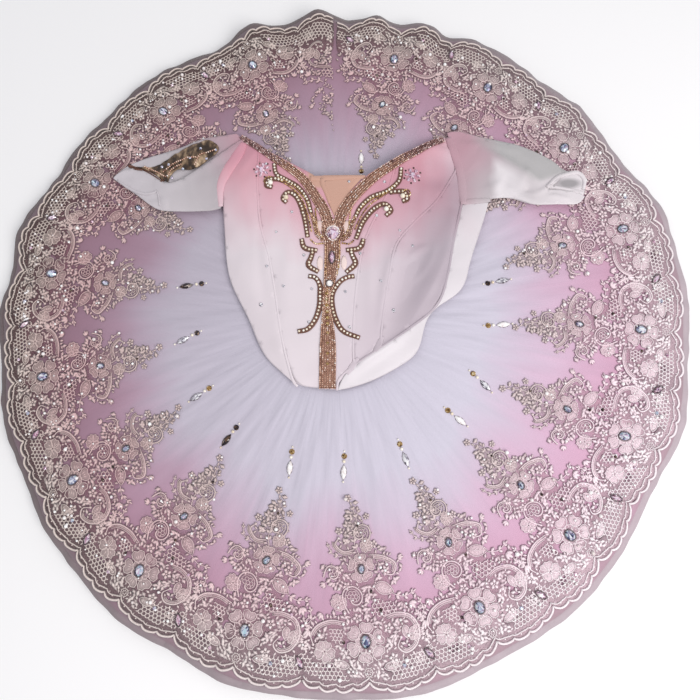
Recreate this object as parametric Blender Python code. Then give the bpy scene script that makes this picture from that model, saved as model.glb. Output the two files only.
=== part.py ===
"""Classical ballet tutu, laid flat on a table with its bodice flopped back over the plate.

Metres, +Z up. The origin is on the table under the middle of the hips. -Y is the wearer's
front, so the bodice lies towards +Y with its own front facing up.
"""

import math

import bmesh
import bpy
import numpy as np
from mathutils import Vector
from mathutils.bvhtree import BVHTree
from mathutils.geometry import delaunay_2d_cdt

# Driving sizes, in metres
PLATE_RADIUS = 0.500  # outermost net, to its cut edge
TOP_NET_RADIUS = 0.4915  # the ombre net that carries the lace
HIP_RADIUS = 0.104  # the nets end here, under the basque
HIP_TOP = 0.034  # height of the top net at the hips
LACE_RADIUS = 0.478  # where the lace's rim scallops meet
RIM_TOP = 0.020  # height of the top net at LACE_RADIUS
TOP_NET_WALL = 0.0015
EDGE_NET_WALL = 0.0012
LACE_WALL = 0.0010
PANEL_WALL = 0.0020  # coutil and satin together
SLEEVE_WALL = 0.0012
SEAM_GAP = 0.0003
LAYER_GAP = 0.0006
NET_SPACING = 0.0008  # between the top net and the edge net

# Soft waves of the plate
WAVE_COUNT = 18
WAVE_HEIGHT = 0.0012
WAVE_START = 0.30  # radius where the plate starts to wave
RUFFLE_START = 0.35  # radius where the rim's ruffles start to rise
RUFFLE_FULL = 0.54  # radius where they would reach their whole rise
BACK_RUFFLES = (64.0, 116.0)  # degrees, the stretch with close ruffles
STEP_BACK = 2.0  # degrees between sections there
STEP_ELSEWHERE = 4.5
TOP_NET_RINGS = (HIP_RADIUS, 0.20, 0.30, 0.36, 0.420, 0.460, TOP_NET_RADIUS)
EDGE_NET_RINGS = (0.420, 0.460, TOP_NET_RADIUS, PLATE_RADIUS)

# The rim all round: angle in degrees, how far it reaches out and how high it rises, in mm
RIM = (
    # angle, reach, rise
    (0, 2, 0), (8, 5, 2), (18, 8, 1), (29, -6, -2), (42, 1, 2), (48, -2, -1),
    (60, 4, 2), (66, 6, 4), (69, -2, -1), (73, 5, 12), (78.5, -2, -1), (82.5, 4, 15),
    (88, 0, 2), (93, 7, 24), (100.5, 1, 2), (106, 6, 19), (113, -6, 0), (128, 3, 2),
    (139, -3, -1), (146, 2, 0), (150, -5, -2), (164, 8, 2), (171, -1, -1), (179, 1, 1),
    (187, -6, -1), (197, -3, 1), (209, -7, -2), (217, -3, 1), (222, -5, 0), (233, 2, 1),
    (243, -2, -1), (256, 6, 2), (270, 3, 0), (280, 8, 2), (300, 1, 0), (308, 4, 2),
    (319, -1, -1), (327, -9, -2), (342, 2, 2), (355, -2, 0),
)

# Section through the hidden nets: their layered edge, then the top back to the hips, in mm
UNDER_NETS = (
    # radius, height, wave of the edge
    (124, 0, 0), (452, 0, 0), (476, 0, 3), (477, 2.2, 3), (457, 3.0, 0), (457, 4.2, 0),
    (483, 4.4, 3), (484, 6.6, 3), (459, 7.0, 0), (459, 8.0, 0), (487, 8.2, 3), (488, 10.2, 3),
    (455, 11.5, 0), (420, 14.5, 0), (360, 19.0, 0), (300, 22.5, 0), (106, 30.0, 0),
    (107, 8.0, 0),
)
UNDER_STEP = 6.0
EDGE_WAVES = 17

# Knickers folded into the hips: radius and height of each ring, in mm
KNICKERS = ((74, 0), (95, 4), (101, 12), (100, 22), (88, 33), (62, 43), (25, 47.5))
KNICKER_SIDES = 20
KNICKER_LOBES = 0.02  # unevenness of their outline

# Lace, by repeats. side is the distance round from the repeat's big flower, in mm.
LACE_FIRST = -84.5  # degrees, the flower at the front
LACE_RIGHT = (20.25, 8)  # repeat in degrees and how many follow the first towards the right
LACE_LEFT = (-20.95, 8)
LACE_SEAM = 90.3  # degrees, the two ends of the lace meet at the centre back
SEAM_TURN = 0.2  # degrees from there to each end
LACE_HALF = 79.0  # mm, half a repeat
SCALLOP_DEPTH = 9.0  # two scallops to a repeat
PICOTS = 4  # small loops along a scallop
PICOT_DEPTH = 3.5
SPRAY = (
    # side, radius
    (-79, 428), (-62, 404), (-40, 398), (-24, 402), (-26, 374), (-50, 358), (-50, 342),
    (-22, 342), (-40, 315), (-16, 300), (-7, 253), (5, 251), (20, 298), (18, 318), (40, 325),
    (62, 350), (42, 374), (48, 388), (76, 388), (68, 408),
)
LACE_GAPS = (
    # side, radius, half length, half width, turn in degrees
    (51, 437, 10, 6.5, 60), (-25, 437, 9, 5, 100), (24, 463, 9, 4.5, 10),
    (-50, 462, 9, 4.5, -10), (8, 388, 8, 5, 40), (30, 350, 8, 5, -20), (3, 316, 7, 4.5, 90),
)
GAP_SIDES = 6
LACE_LIFT = 0.0010  # underside of the lace above the top net
RUFFLE_LIFT = 0.15  # how much more it lifts, as a share of the rim's rise
RUFFLE_MESH = 0.014  # spacing of the lace's inner points where the rim ruffles
RUFFLE_INNER = 0.41  # radius where those points start

# Bodice plan, in mm. Each curve is smoothed through its points.
BODICE_CORNERS = ("basque", "side_right", "underarm_right", "armhole_right", "neck_right",
                  "neck_left", "armhole_left", "side_left")
BODICE = {
    "basque": ((-94, -68), (-70, -88), (-45, -101), (-10, -111), (20, -109), (52, -99),
               (84, -83), (116, -62)),
    "side_right": ((116, -62), (123, -40), (125, -18), (138, 2), (160, 17), (183, 29),
                   (192, 66), (205, 104), (218, 140), (226, 168)),
    "underarm_right": ((226, 168), (205, 167), (186, 165)),
    "armhole_right": ((186, 165), (184, 200), (177, 240), (166, 276)),
    "neck_right": ((166, 276), (118, 249), (86, 231), (58, 214), (42, 204)),
    "neck_left": ((-22, 204), (-50, 220), (-92, 247), (-139, 282)),
    "armhole_left": ((-139, 282), (-134, 266), (-152, 242), (-171, 204)),
    "side_left": ((-171, 204), (-166, 150), (-159, 85), (-154, 55), (-139, 22), (-120, -12),
                  (-107, -46), (-94, -68)),
}
SEAMS = {
    "princess_left": ((-116, 262), (-115, 190), (-108, 131), (-94, 82), (-84, 28), (-73, -36),
                      (-58, -94), (-50, -106)),
    "princess_right": ((92, 236), (78, 180), (55, 130), (41, 93), (33, 45), (28, -10),
                       (27, -60), (28, -78)),
    "side_front_right": ((182, 222), (150, 168), (112, 128), (88, 95), (78, 50), (70, 0),
                         (66, -30), (64, -54)),
    "side_right": ((186, 165), (179, 137), (170, 99), (161, 54), (145, 10), (102, -28),
                   (58, -58), (28, -78), (8, -96), (4, -112)),
}
INSERT_LEFT = ((-22, 204), (-15, 180), (-8, 158), (0, 140))
INSERT_RIGHT = ((0, 140), (10, 160), (24, 182), (42, 204))
BACK_NECK = ((-171, 204), (-110, 196), (-40, 180), (30, 178), (100, 190), (184, 205))
PANEL_SPACING = 0.027
BODICE_REST = 0.0080  # top of the bodice's edge above the plate
BODICE_CROWN = 0.012
CROWN_REACH = 0.030  # how far in from the side the crown is nearly full
DENT = ((118, 62), (34, 78), -14.0, 0.006)  # centre, half sizes in mm, turn, depth in metres

# Braids: x, y and half width along each, in mm
BRAID_HEIGHT = 0.0028
BRAID_STEP = 0.014  # length of a braid's sections
BRAIDS = {
    "neck_trim_left": ((-138, 277, 3.5), (-120, 262, 4.5), (-95, 241, 5), (-66, 222, 6.5),
                       (-42, 201, 7.5), (-23, 172, 9), (-13, 141, 9)),
    "neck_trim_right": ((163, 270, 4), (140, 257, 5), (112, 240, 6.5), (82, 222, 8),
                        (52, 202, 9), (27, 176, 10), (12, 142, 9)),
    "centre_braid": ((-3, 103, 11), (-3, 78, 11), (-5, 36, 8.5), (-7, -8, 8.5),
                     (-8, -60, 12), (-9, -109, 12)),
}

# Beaded scrolls on the bodice: x and y in mm
SCROLL_HALF_WIDTH = 0.0038
SCROLL_TIP = 0.55  # width of a scroll's tips as a share of its middle
SCROLL_HEIGHT = 0.0030
SCROLL_STEP = 0.0085
SCROLLS = {
    "scroll_upper_left": ((-91, 230), (-87, 212), (-72, 201), (-54, 188), (-40, 168),
                          (-34, 146)),
    "scroll_curl_left": ((-92, 190), (-101, 193), (-98, 203), (-85, 203)),
    "scroll_second_left": ((-70, 164), (-76, 171), (-68, 181), (-54, 170), (-44, 142),
                           (-38, 108)),
    "scroll_middle_left": ((-47, 106), (-42, 92), (-24, 87)),
    "scroll_hook_left": ((-29, 80), (-36, 65), (-22, 55)),
    "scroll_lower_left": ((-34, 48), (-19, 38), (-20.5, 0), (-29, -24), (-48, -34)),
    "scroll_upper_right": ((98, 218), (94, 196), (76, 179), (54, 170), (38, 154), (30, 138)),
    "scroll_curl_right": ((98, 163), (106, 167), (101, 178), (90, 172)),
    "scroll_second_right": ((74, 140), (82, 149), (72, 159), (56, 150), (41, 130), (31, 104)),
    "scroll_middle_right": ((42, 104), (36, 90), (17, 87)),
    "scroll_hook_right": ((21, 80), (30, 66), (17, 53)),
    "scroll_lower_right": ((29, 47), (13, 38), (7, 0), (15, -27), (38, -42)),
}
JEWELS = {
    # x, y, half width, half length, in mm
    "jewel_centre": (-2, 119, 10, 11.5),
    "jewel_navette": (-3, 76, 3.5, 8.5),
    "jewel_round": (-5, 34, 5, 5),
}
JEWEL_HEIGHT = 0.0045

# Sleeves, laid flat: the whole outline, then the outline of the layer on top, in mm
SLEEVES = {
    "left": {
        "under": ((-341, 219), (-326, 238), (-286, 255), (-246, 266), (-205, 283), (-176, 287),
                  (-154, 290), (-145, 284), (-140, 268), (-157, 243), (-176, 204),
                  (-171, 164), (-196, 161), (-229, 161), (-265, 164), (-282, 175),
                  (-300, 190), (-324, 206)),
        "over": ((-341, 219), (-336, 228), (-311, 235), (-286, 225), (-257, 206),
                 (-238, 211), (-215, 224), (-176, 255), (-145, 279), (-140, 268),
                 (-157, 243), (-176, 204), (-171, 164), (-196, 160), (-229, 160),
                 (-265, 163), (-282, 174), (-300, 189), (-324, 205)),
    },
    "right": {
        "under": ((169, 282), (186, 285), (212, 275), (240, 268), (271, 260), (302, 246),
                  (330, 228), (340, 217), (356, 216), (367, 205), (370, 191), (366, 178),
                  (358, 163), (328, 164), (296, 162), (281, 165), (259, 174), (229, 173),
                  (188.5, 169), (186.5, 202), (179.5, 241)),
        "over": ((169, 282), (186, 286), (212, 276), (240, 269), (271, 261), (302, 247),
                 (330, 229), (338, 217), (334, 202), (308, 184), (322, 188), (340, 184),
                 (366, 181), (358, 162), (328, 163), (296, 161), (281, 164), (259, 173),
                 (229, 172), (188.5, 169), (186.5, 202), (179.5, 241)),
    },
}
SLEEVE_REST = 0.0060  # underside of a sleeve above the plate
SLEEVE_PUFF = 0.0050
PUFF_REACH = 0.022
SLEEVE_SPACING = 0.028
SLEEVE_BORDER = 0.016  # spacing of the points along its edge

# Beaded trimming that shows in the left sleeve's mouth
ARMLET = ((-307, 237), (-284, 229), (-259, 210), (-254, 212), (-249, 226), (-238, 232),
          (-218, 228), (-200, 241), (-178, 260), (-181, 270), (-197, 280), (-222, 272),
          (-243, 259), (-266, 244), (-276, 236))
ARMLET_WALL = 0.0015
ARMLET_HEIGHT = 0.012
ARMLET_SPACING = 0.016
ARMLET_BORDER = 0.012
ARMLET_SLOPE = 0.010  # how far in from its edge the band is nearly at full height
ARMLET_BUMPS = (0.011, 0.017)  # size of the crumples across and along

FINISHES = {
    # colour, roughness, metallic
    "net_under": ((0.70, 0.62, 0.68), 0.85, 0.0),
    "net_edge": ((0.48, 0.38, 0.42), 0.85, 0.0),
    "net_top": ((0.72, 0.55, 0.68), 0.80, 0.0),
    "lace": ((0.85, 0.74, 0.72), 0.70, 0.0),
    "satin": ((0.88, 0.76, 0.80), 0.45, 0.0),
    "insert": ((0.76, 0.52, 0.44), 0.70, 0.0),
    "chiffon": ((0.80, 0.80, 0.82), 0.60, 0.0),
    "braid": ((0.50, 0.33, 0.26), 0.40, 0.6),
    "beads": ((0.62, 0.48, 0.34), 0.35, 0.7),
    "crystal": ((0.90, 0.62, 0.74), 0.08, 0.0),
    "knit": ((0.86, 0.80, 0.82), 0.85, 0.0),
}
MM = 0.001


# ---------------------------------------------------------------- small helpers

def smoothstep(low, high, value):
    t = min(max((value - low) / (high - low), 0.0), 1.0)
    return t * t * (3 - 2 * t)


def smooth_path(points, steps):
    """A Catmull-Rom curve through the points, open, with the given steps to a span."""
    ends = [2 * points[0] - points[1], *points, 2 * points[-1] - points[-2]]
    path = []
    for a, b, c, d in zip(ends, ends[1:], ends[2:], ends[3:]):
        for k in range(steps):
            t = k / steps
            path.append(0.5 * (2 * b + (c - a) * t + (2 * a - 5 * b + 4 * c - d) * t * t
                               + (3 * b - a - 3 * c + d) * t ** 3))
    return [*path, points[-1]]


def even_path(points, spacing):
    """The same curve, cut into equal steps of about the given spacing."""
    fine = np.array(smooth_path([np.array(p, float) for p in points], 12))
    run = np.r_[0, np.cumsum(np.linalg.norm(np.diff(fine[:, :2], axis=0), axis=1))]
    count = max(2, round(run[-1] / spacing))
    even = np.linspace(0, run[-1], count + 1)
    return np.column_stack([np.interp(even, run, column) for column in fine.T])


def inside(points, outline):
    """Which points lie inside a closed outline."""
    x, y = points[:, 0], points[:, 1]
    found = np.zeros(len(points), bool)
    for (x0, y0), (x1, y1) in zip(outline, np.roll(outline, -1, axis=0)):
        crosses = (y0 > y) != (y1 > y)
        with np.errstate(divide="ignore", invalid="ignore"):
            found ^= crosses & (x < (x1 - x0) * (y - y0) / (y1 - y0) + x0)
    return found


def distance_to(points, path, closed=False):
    """The distance of each point from a path of straight pieces."""
    best = np.full(len(points), np.inf)
    starts, ends = (path, np.roll(path, -1, axis=0)) if closed else (path[:-1], path[1:])
    for a, b in zip(starts, ends):
        span = b - a
        t = np.clip(((points - a) @ span) / max(span @ span, 1e-18), 0, 1)
        best = np.minimum(best, np.linalg.norm(points - a - t[:, None] * span, axis=1))
    return best


def fill_plan(outline, spacing, holes=(), lines=(), zone=None):
    """Triangles that fill an outline in plan: its points, and their indices by threes."""
    low, high = outline.min(axis=0), outline.max(axis=0)
    rows = np.arange(low[1], high[1], spacing * 0.87)
    grid = np.array([(x + (k % 2) * spacing / 2, y) for k, y in enumerate(rows)
                     for x in np.arange(low[0], high[0], spacing)])
    keep = inside(grid, outline) & (distance_to(grid, outline, True) > spacing * 0.5)
    for hole in holes:
        keep &= ~inside(grid, hole) & (distance_to(grid, hole, True) > spacing * 0.5)
    for line in lines:
        keep &= distance_to(grid, line) > spacing * 0.45
    if zone is not None:
        keep &= zone(grid)
    points, edges = [], []
    for loop in (outline, *holes):
        first = len(points)
        points.extend(loop)
        edges.extend((first + k, first + (k + 1) % len(loop)) for k in range(len(loop)))
    for line in lines:
        first = len(points)
        points.extend(line)
        edges.extend((first + k, first + k + 1) for k in range(len(line) - 1))
    points.extend(grid[keep])
    found = delaunay_2d_cdt([Vector(p) for p in points], edges, [], 0, 1e-6)
    plan = np.array([tuple(v) for v in found[0]])
    triangles = np.array([tuple(face) for face in found[2]])
    centres = plan[triangles].mean(axis=1)
    wanted = inside(centres, outline)
    for hole in holes:
        wanted &= ~inside(centres, hole)
    return plan, triangles[wanted]


def finish(name, bm, finish_name, smooth=True):
    """Turns a bmesh into a named object with its own material."""
    bmesh.ops.recalc_face_normals(bm, faces=bm.faces)
    mesh = bpy.data.meshes.new(name)
    bm.to_mesh(mesh)
    bm.free()
    colour, roughness, metallic = FINISHES[finish_name]
    material = bpy.data.materials.new(name)
    material.use_nodes = True
    shader = material.node_tree.nodes["Principled BSDF"]
    shader.inputs["Base Color"].default_value = (*colour, 1.0)
    shader.inputs["Roughness"].default_value = roughness
    shader.inputs["Metallic"].default_value = metallic
    mesh.materials.append(material)
    if smooth:
        mesh.shade_smooth()
        mesh.set_sharp_from_angle(angle=math.radians(40))
    part = bpy.data.objects.new(name, mesh)
    COLLECTION.objects.link(part)
    return part


def wall(name, points, triangles, depth, finish_name):
    """A wall of cloth: a sheet of triangles, and the same sheet lowered by depth under it."""
    bm = bmesh.new()
    used = sorted(set(triangles.ravel()))
    corner = {index: bm.verts.new(points[index]) for index in used}
    for triangle in triangles:
        bm.faces.new([corner[index] for index in triangle])
    bmesh.ops.recalc_face_normals(bm, faces=bm.faces)
    if sum(face.normal.z for face in bm.faces) < 0:
        bmesh.ops.reverse_faces(bm, faces=bm.faces)
    bm.normal_update()
    lowered = bmesh.ops.extrude_face_region(bm, geom=bm.faces[:], use_keep_orig=True)
    for part in lowered["geom"]:
        if isinstance(part, bmesh.types.BMVert):
            part.co.z -= depth
    return finish(name, bm, finish_name)


def surface_of(points, triangles):
    """A function that gives the height of a sheet of triangles over any point of the plan."""
    tree = BVHTree.FromPolygons([Vector(p) for p in points], [tuple(t) for t in triangles])

    def height(x, y):
        hit = tree.ray_cast(Vector((x, y, 1.0)), Vector((0, 0, -1)))[0]
        if hit is None:
            hit = tree.find_nearest(Vector((x, y, 0.04)))[0]
        return hit.z

    return height


def ribbon(name, path, half_widths, height, base, finish_name, crown=0.35):
    """A raised band along a path: flat below, thicker along its middle."""
    ahead = np.gradient(path, axis=0)
    across = np.column_stack([-ahead[:, 1], ahead[:, 0]])
    across /= np.linalg.norm(across, axis=1)[:, None]
    bm = bmesh.new()
    sections = []
    for point, side, half in zip(path, across, half_widths):
        edges = [point + side * half, point, point - side * half]
        floor = [base(*edge) + LAYER_GAP for edge in edges]
        top = [floor[0] + height * (1 - crown), floor[1] + height, floor[2] + height * (1 - crown)]
        ring = [(*edge, z) for edge, z in zip(edges, floor)]
        ring += [(*edge, z) for edge, z in zip(edges[::-1], top[::-1])]
        sections.append([bm.verts.new(corner) for corner in ring])
    for one, two in zip(sections, sections[1:]):
        for k in range(6):
            m = (k + 1) % 6
            bm.faces.new((one[k], one[m], two[m], two[k]))
    for ring in (sections[0], sections[-1]):
        bm.faces.new(ring)
    bmesh.ops.triangulate(bm, faces=bm.faces)
    return finish(name, bm, finish_name)


# ---------------------------------------------------------------- the plate's shape

def rim_at(angle):
    """Reach and rise of the rim at an angle in degrees, in metres."""
    rows = [*RIM, (RIM[0][0] + 360, *RIM[0][1:])]
    angle %= 360
    for (a0, *from_row), (a1, *to_row) in zip(rows, rows[1:]):
        if a0 <= angle <= a1:
            t = smoothstep(a0, a1, angle)
            return [(p + (q - p) * t) * MM for p, q in zip(from_row, to_row)]
    return [value * MM for value in RIM[0][1:]]


def plate_height(radius):
    """Height of the top net where it lies without a wave."""
    slope = (RIM_TOP - HIP_TOP) / (LACE_RADIUS - HIP_RADIUS)
    return HIP_TOP + slope * (radius - HIP_RADIUS)


def plate_point(radius, angle, drop=0.0):
    """A point of the top net, or of a layer that lies lower by drop."""
    reach, rise = rim_at(angle)
    sway = smoothstep(WAVE_START, PLATE_RADIUS, radius)
    ruffle = smoothstep(RUFFLE_START, RUFFLE_FULL, radius)
    turn = math.radians(angle)
    out = radius + reach * sway
    z = plate_height(radius) + rise * ruffle + WAVE_HEIGHT * sway * math.cos(WAVE_COUNT * turn)
    return (out * math.cos(turn), out * math.sin(turn), z - drop)


def plate_angles():
    """The angles of the plate's sections: close together where the back ruffles."""
    first, last = BACK_RUFFLES
    back = np.linspace(first, last, round((last - first) / STEP_BACK) + 1)
    rest = 360 - (last - first)
    others = np.linspace(last, first + 360, round(rest / STEP_ELSEWHERE) + 1)[1:-1]
    return np.r_[back, others]


def net_ring(name, radii, drop, depth, finish_name):
    """One net of the plate, as a wall that waves with it. Gives its points and triangles."""
    angles = plate_angles()
    points = np.array([plate_point(r, a, drop) for r in radii for a in angles])
    count = len(angles)
    triangles = []
    for row in range(len(radii) - 1):
        for k in range(count):
            a, b = row * count + k, row * count + (k + 1) % count
            triangles += [(a, a + count, b), (b, a + count, b + count)]
    triangles = np.array(triangles)
    wall(name, points, triangles, depth, finish_name)
    return points, triangles


def under_nets():
    """The hidden nets as one solid: flat below, layered and a little wavy at the edge."""
    bm = bmesh.new()
    rings = []
    for angle in np.arange(0, 360, UNDER_STEP):
        turn = math.radians(angle)
        ring = []
        for place, (radius, height, wave) in enumerate(UNDER_NETS):
            out = (radius + wave * math.sin(EDGE_WAVES * turn + place)) * MM
            ring.append(bm.verts.new((out * math.cos(turn), out * math.sin(turn), height * MM)))
        rings.append(ring)
    for one, two in zip(rings, rings[1:] + rings[:1]):
        for k in range(len(UNDER_NETS)):
            m = (k + 1) % len(UNDER_NETS)
            bm.faces.new((one[k], one[m], two[m], two[k]))
    bmesh.ops.triangulate(bm, faces=bm.faces)
    return finish("net_under", bm, "net_under")


def knickers():
    """The knickers, folded flat into the hips: one soft rounded heap with a flat underside."""
    bm = bmesh.new()
    rings = []
    for radius, height in KNICKERS:
        ring = []
        for k in range(KNICKER_SIDES):
            turn = 2 * math.pi * k / KNICKER_SIDES
            out = radius * (1 + KNICKER_LOBES * math.sin(3 * turn) * (height > 0)) * MM
            ring.append(bm.verts.new((out * math.cos(turn), out * math.sin(turn), height * MM)))
        rings.append(ring)
    for one, two in zip(rings, rings[1:]):
        for k in range(KNICKER_SIDES):
            m = (k + 1) % KNICKER_SIDES
            bm.faces.new((one[k], one[m], two[m], two[k]))
    bm.faces.new(rings[0])
    bm.faces.new(rings[-1])
    return finish("knickers", bm, "knit")


# ---------------------------------------------------------------- the lace

def flower_angles():
    """The angle of each repeat's big flower with the repeat's own size and direction."""
    places = [(LACE_FIRST, LACE_RIGHT[0])]
    for step, count in (LACE_RIGHT, LACE_LEFT):
        places += [(LACE_FIRST + step * k, abs(step)) for k in range(1, count + 1)]
    return sorted(places)


def lace_plan(flower, repeat, side, radius):
    """A place in a repeat, given in mm, as a point of the plan."""
    turn = math.radians(flower + side / LACE_HALF * repeat / 2)
    return np.array((radius * math.cos(turn), radius * math.sin(turn))) * MM


def rim_radius(share):
    """Radius of the lace's outer edge, in mm, at a share of one scallop."""
    picot = abs(math.sin(math.pi * share * PICOTS))
    scallop = math.sin(math.pi * share) ** 0.7 if 0 < share < 1 else 0.0
    return LACE_RADIUS / MM + SCALLOP_DEPTH * scallop + PICOT_DEPTH * picot


def cut_gap(flower, repeat, side, radius, length, width, turn):
    """The outline of one gap of the lace."""
    lean = math.radians(turn)
    corners = []
    for k in range(GAP_SIDES):
        spin = 2 * math.pi * k / GAP_SIDES
        u, v = length * math.cos(spin), width * math.sin(spin)
        corners.append(lace_plan(flower, repeat, side + u * math.cos(lean) - v * math.sin(lean),
                                 radius + u * math.sin(lean) + v * math.cos(lean)))
    return np.array(corners)


def lace_border(net_height):
    """The lace round the rim: scallops outside, a spray inwards in each repeat, cut gaps.

    It is one strip. Its two ends meet at the centre back, in the middle of a repeat.
    """
    outer, inner, holes = [], [], []
    places = flower_angles()
    step = LACE_HALF / (2 * PICOTS)
    for order, (flower, repeat) in enumerate(places):
        start, stop = -LACE_HALF, LACE_HALF
        if order == 0:
            start = (LACE_SEAM - 360 + SEAM_TURN - flower) / repeat * 2 * LACE_HALF
        if order == len(places) - 1:
            stop = (LACE_SEAM - SEAM_TURN - flower) / repeat * 2 * LACE_HALF
        whole = math.ceil(start / step + 0.25)
        sides = [start, *np.arange(whole * step, stop - step / 4, step)]
        if order == len(places) - 1:
            sides.append(stop)
        outer += [lace_plan(flower, repeat, side, rim_radius(side / LACE_HALF % 1))
                  for side in sides]
        inner += [lace_plan(flower, repeat, side, SPRAY[0][1])
                  for side in np.arange(start, -LACE_HALF - step, step)]
        inner += [lace_plan(flower, repeat, *row) for row in SPRAY]
        inner += [lace_plan(flower, repeat, side, SPRAY[0][1])
                  for side in np.arange(stop, LACE_HALF, -step)[::-1]]
        holes += [cut_gap(flower, repeat, *row) for row in LACE_GAPS]
    outline = np.array(outer + inner[::-1])

    def in_back_ruffles(grid):
        angle = np.degrees(np.arctan2(grid[:, 1], grid[:, 0]))
        radius = np.hypot(grid[:, 0], grid[:, 1])
        return (angle > BACK_RUFFLES[0]) & (angle < BACK_RUFFLES[1]) & (radius > RUFFLE_INNER)

    plan, triangles = fill_plan(outline, RUFFLE_MESH, holes=holes, zone=in_back_ruffles)
    points = []
    for x, y in plan:
        angle = math.degrees(math.atan2(y, x))
        px, py, _ = plate_point(math.hypot(x, y), angle)
        lift = LACE_WALL + LACE_LIFT + RUFFLE_LIFT * max(rim_at(angle)[1], 0)
        points.append((px, py, net_height(px, py) + lift))
    wall("lace_border", np.array(points), triangles, LACE_WALL, "lace")


# ---------------------------------------------------------------- the bodice

def scaled(rows):
    return np.array(rows, float) * MM


def bodice_outline(spacing):
    """The bodice's whole outline, and apart from it the sides that are rounded down."""
    loops = {}
    for name in BODICE_CORNERS:
        loops[name] = even_path(scaled(BODICE[name]), spacing)
    outline = np.concatenate([loops[name][:-1] for name in BODICE_CORNERS[:4]]
                             + [loops["neck_right"]]
                             + [loops[name][:-1] for name in BODICE_CORNERS[5:]])
    rounded = [loops[name] for name in ("basque", "side_right", "armhole_right", "side_left",
                                        "armhole_left", "underarm_right")]
    return outline, rounded


def bodice_height(plan, rounded):
    """Height of the bodice's front over the plan: a low crown with one dent."""
    radius = np.hypot(plan[:, 0], plan[:, 1])
    edge = np.min([distance_to(plan, line) for line in rounded], axis=0)
    z = plate_height(radius) + BODICE_REST + BODICE_CROWN * (1 - np.exp(-edge / CROWN_REACH))
    centre, half, turn, depth = DENT
    lean = math.radians(turn)
    dx, dy = plan[:, 0] - centre[0] * MM, plan[:, 1] - centre[1] * MM
    u = (dx * math.cos(lean) + dy * math.sin(lean)) / (half[0] * MM)
    v = (-dx * math.sin(lean) + dy * math.cos(lean)) / (half[1] * MM)
    return z - depth * np.exp(-u * u - v * v)


def meet(border, line, end):
    """Moves the border's nearest point onto one end of a line, so that the two share it."""
    border[np.argmin(np.linalg.norm(border - line[end], axis=1))] = line[end]


def left_of(points, line):
    """Which points have a line to their right at their own height in the plan."""
    order = np.argsort(line[:, 1])
    return points[:, 0] < np.interp(points[:, 1], line[order, 1], line[order, 0])


def parted(plan, triangles, gap):
    """Pulls the border of a piece in by half a seam's gap."""
    edges = {(a, b) for triangle in triangles for a, b in zip(triangle, np.roll(triangle, -1))}
    moved = plan.copy()
    push = {}
    for a, b in sorted(edges):
        if (b, a) in edges:
            continue
        along = plan[b] - plan[a]
        inward = np.array((-along[1], along[0])) / np.linalg.norm(along)
        for corner in (a, b):
            push.setdefault(corner, []).append(inward)
    for corner, ways in push.items():
        mean = np.sum(ways, axis=0)
        size = mean @ mean / len(ways)
        moved[corner] += mean / max(size, 0.5) * gap
    return moved


def bodice():
    """The bodice's front panels, insert and back, all cut from one fine plan."""
    outline, rounded = bodice_outline(PANEL_SPACING)
    seams = {name: even_path(scaled(rows), PANEL_SPACING) for name, rows in SEAMS.items()}
    insert = np.concatenate([even_path(scaled(INSERT_LEFT), PANEL_SPACING)[:-1],
                             even_path(scaled(INSERT_RIGHT), PANEL_SPACING)])
    back_neck = even_path(scaled(BACK_NECK), PANEL_SPACING)
    for line in (*seams.values(), back_neck):
        meet(outline, line, 0)
    for name in ("princess_right", "side_front_right"):
        meet(seams["side_right"], seams[name], -1)
    for line in (seams["princess_left"], seams["side_right"], back_neck):
        meet(outline, line, -1)
    plan, triangles = fill_plan(outline, PANEL_SPACING,
                                lines=[*seams.values(), insert, back_neck])
    flip = np.cross(plan[triangles[:, 1]] - plan[triangles[:, 0]],
                    plan[triangles[:, 2]] - plan[triangles[:, 0]]) < 0
    triangles[flip] = triangles[flip][:, ::-1]
    z = bodice_height(plan, rounded)
    centres = plan[triangles].mean(axis=1)
    in_insert = inside(centres, insert)
    left = {name: left_of(centres, line) for name, line in seams.items()}
    low_right = ~left["side_right"] | ((centres[:, 1] < seams["side_right"][:, 1].min())
                                       & (centres[:, 0] > 0))
    panels = {
        "neck_insert": in_insert,
        "bodice_side_back_right": ~in_insert & low_right,
        "bodice_front_left": ~in_insert & left["princess_left"],
        "bodice_front_centre": (~in_insert & ~low_right & ~left["princess_left"]
                                & left["princess_right"]),
        "bodice_side_right": ~in_insert & ~low_right & ~left["side_front_right"],
    }
    taken = np.any(list(panels.values()), axis=0)
    panels["bodice_front_right"] = ~taken
    for name, chosen in panels.items():
        piece = triangles[chosen]
        flat = parted(plan, piece, SEAM_GAP * 0.6)
        cloth = "insert" if name == "neck_insert" else "satin"
        wall(name, np.column_stack([flat, z]), piece, PANEL_WALL, cloth)
    order = np.argsort(back_neck[:, 0])
    below = centres[:, 1] < np.interp(centres[:, 0], *back_neck[order].T)
    piece = triangles[below]
    flat = parted(plan, piece, SEAM_GAP * 0.6)
    wall("bodice_back", np.column_stack([flat, z - PANEL_WALL - LAYER_GAP]), piece, PANEL_WALL,
         "satin")
    return surface_of(np.column_stack([plan, z]), triangles)


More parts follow.
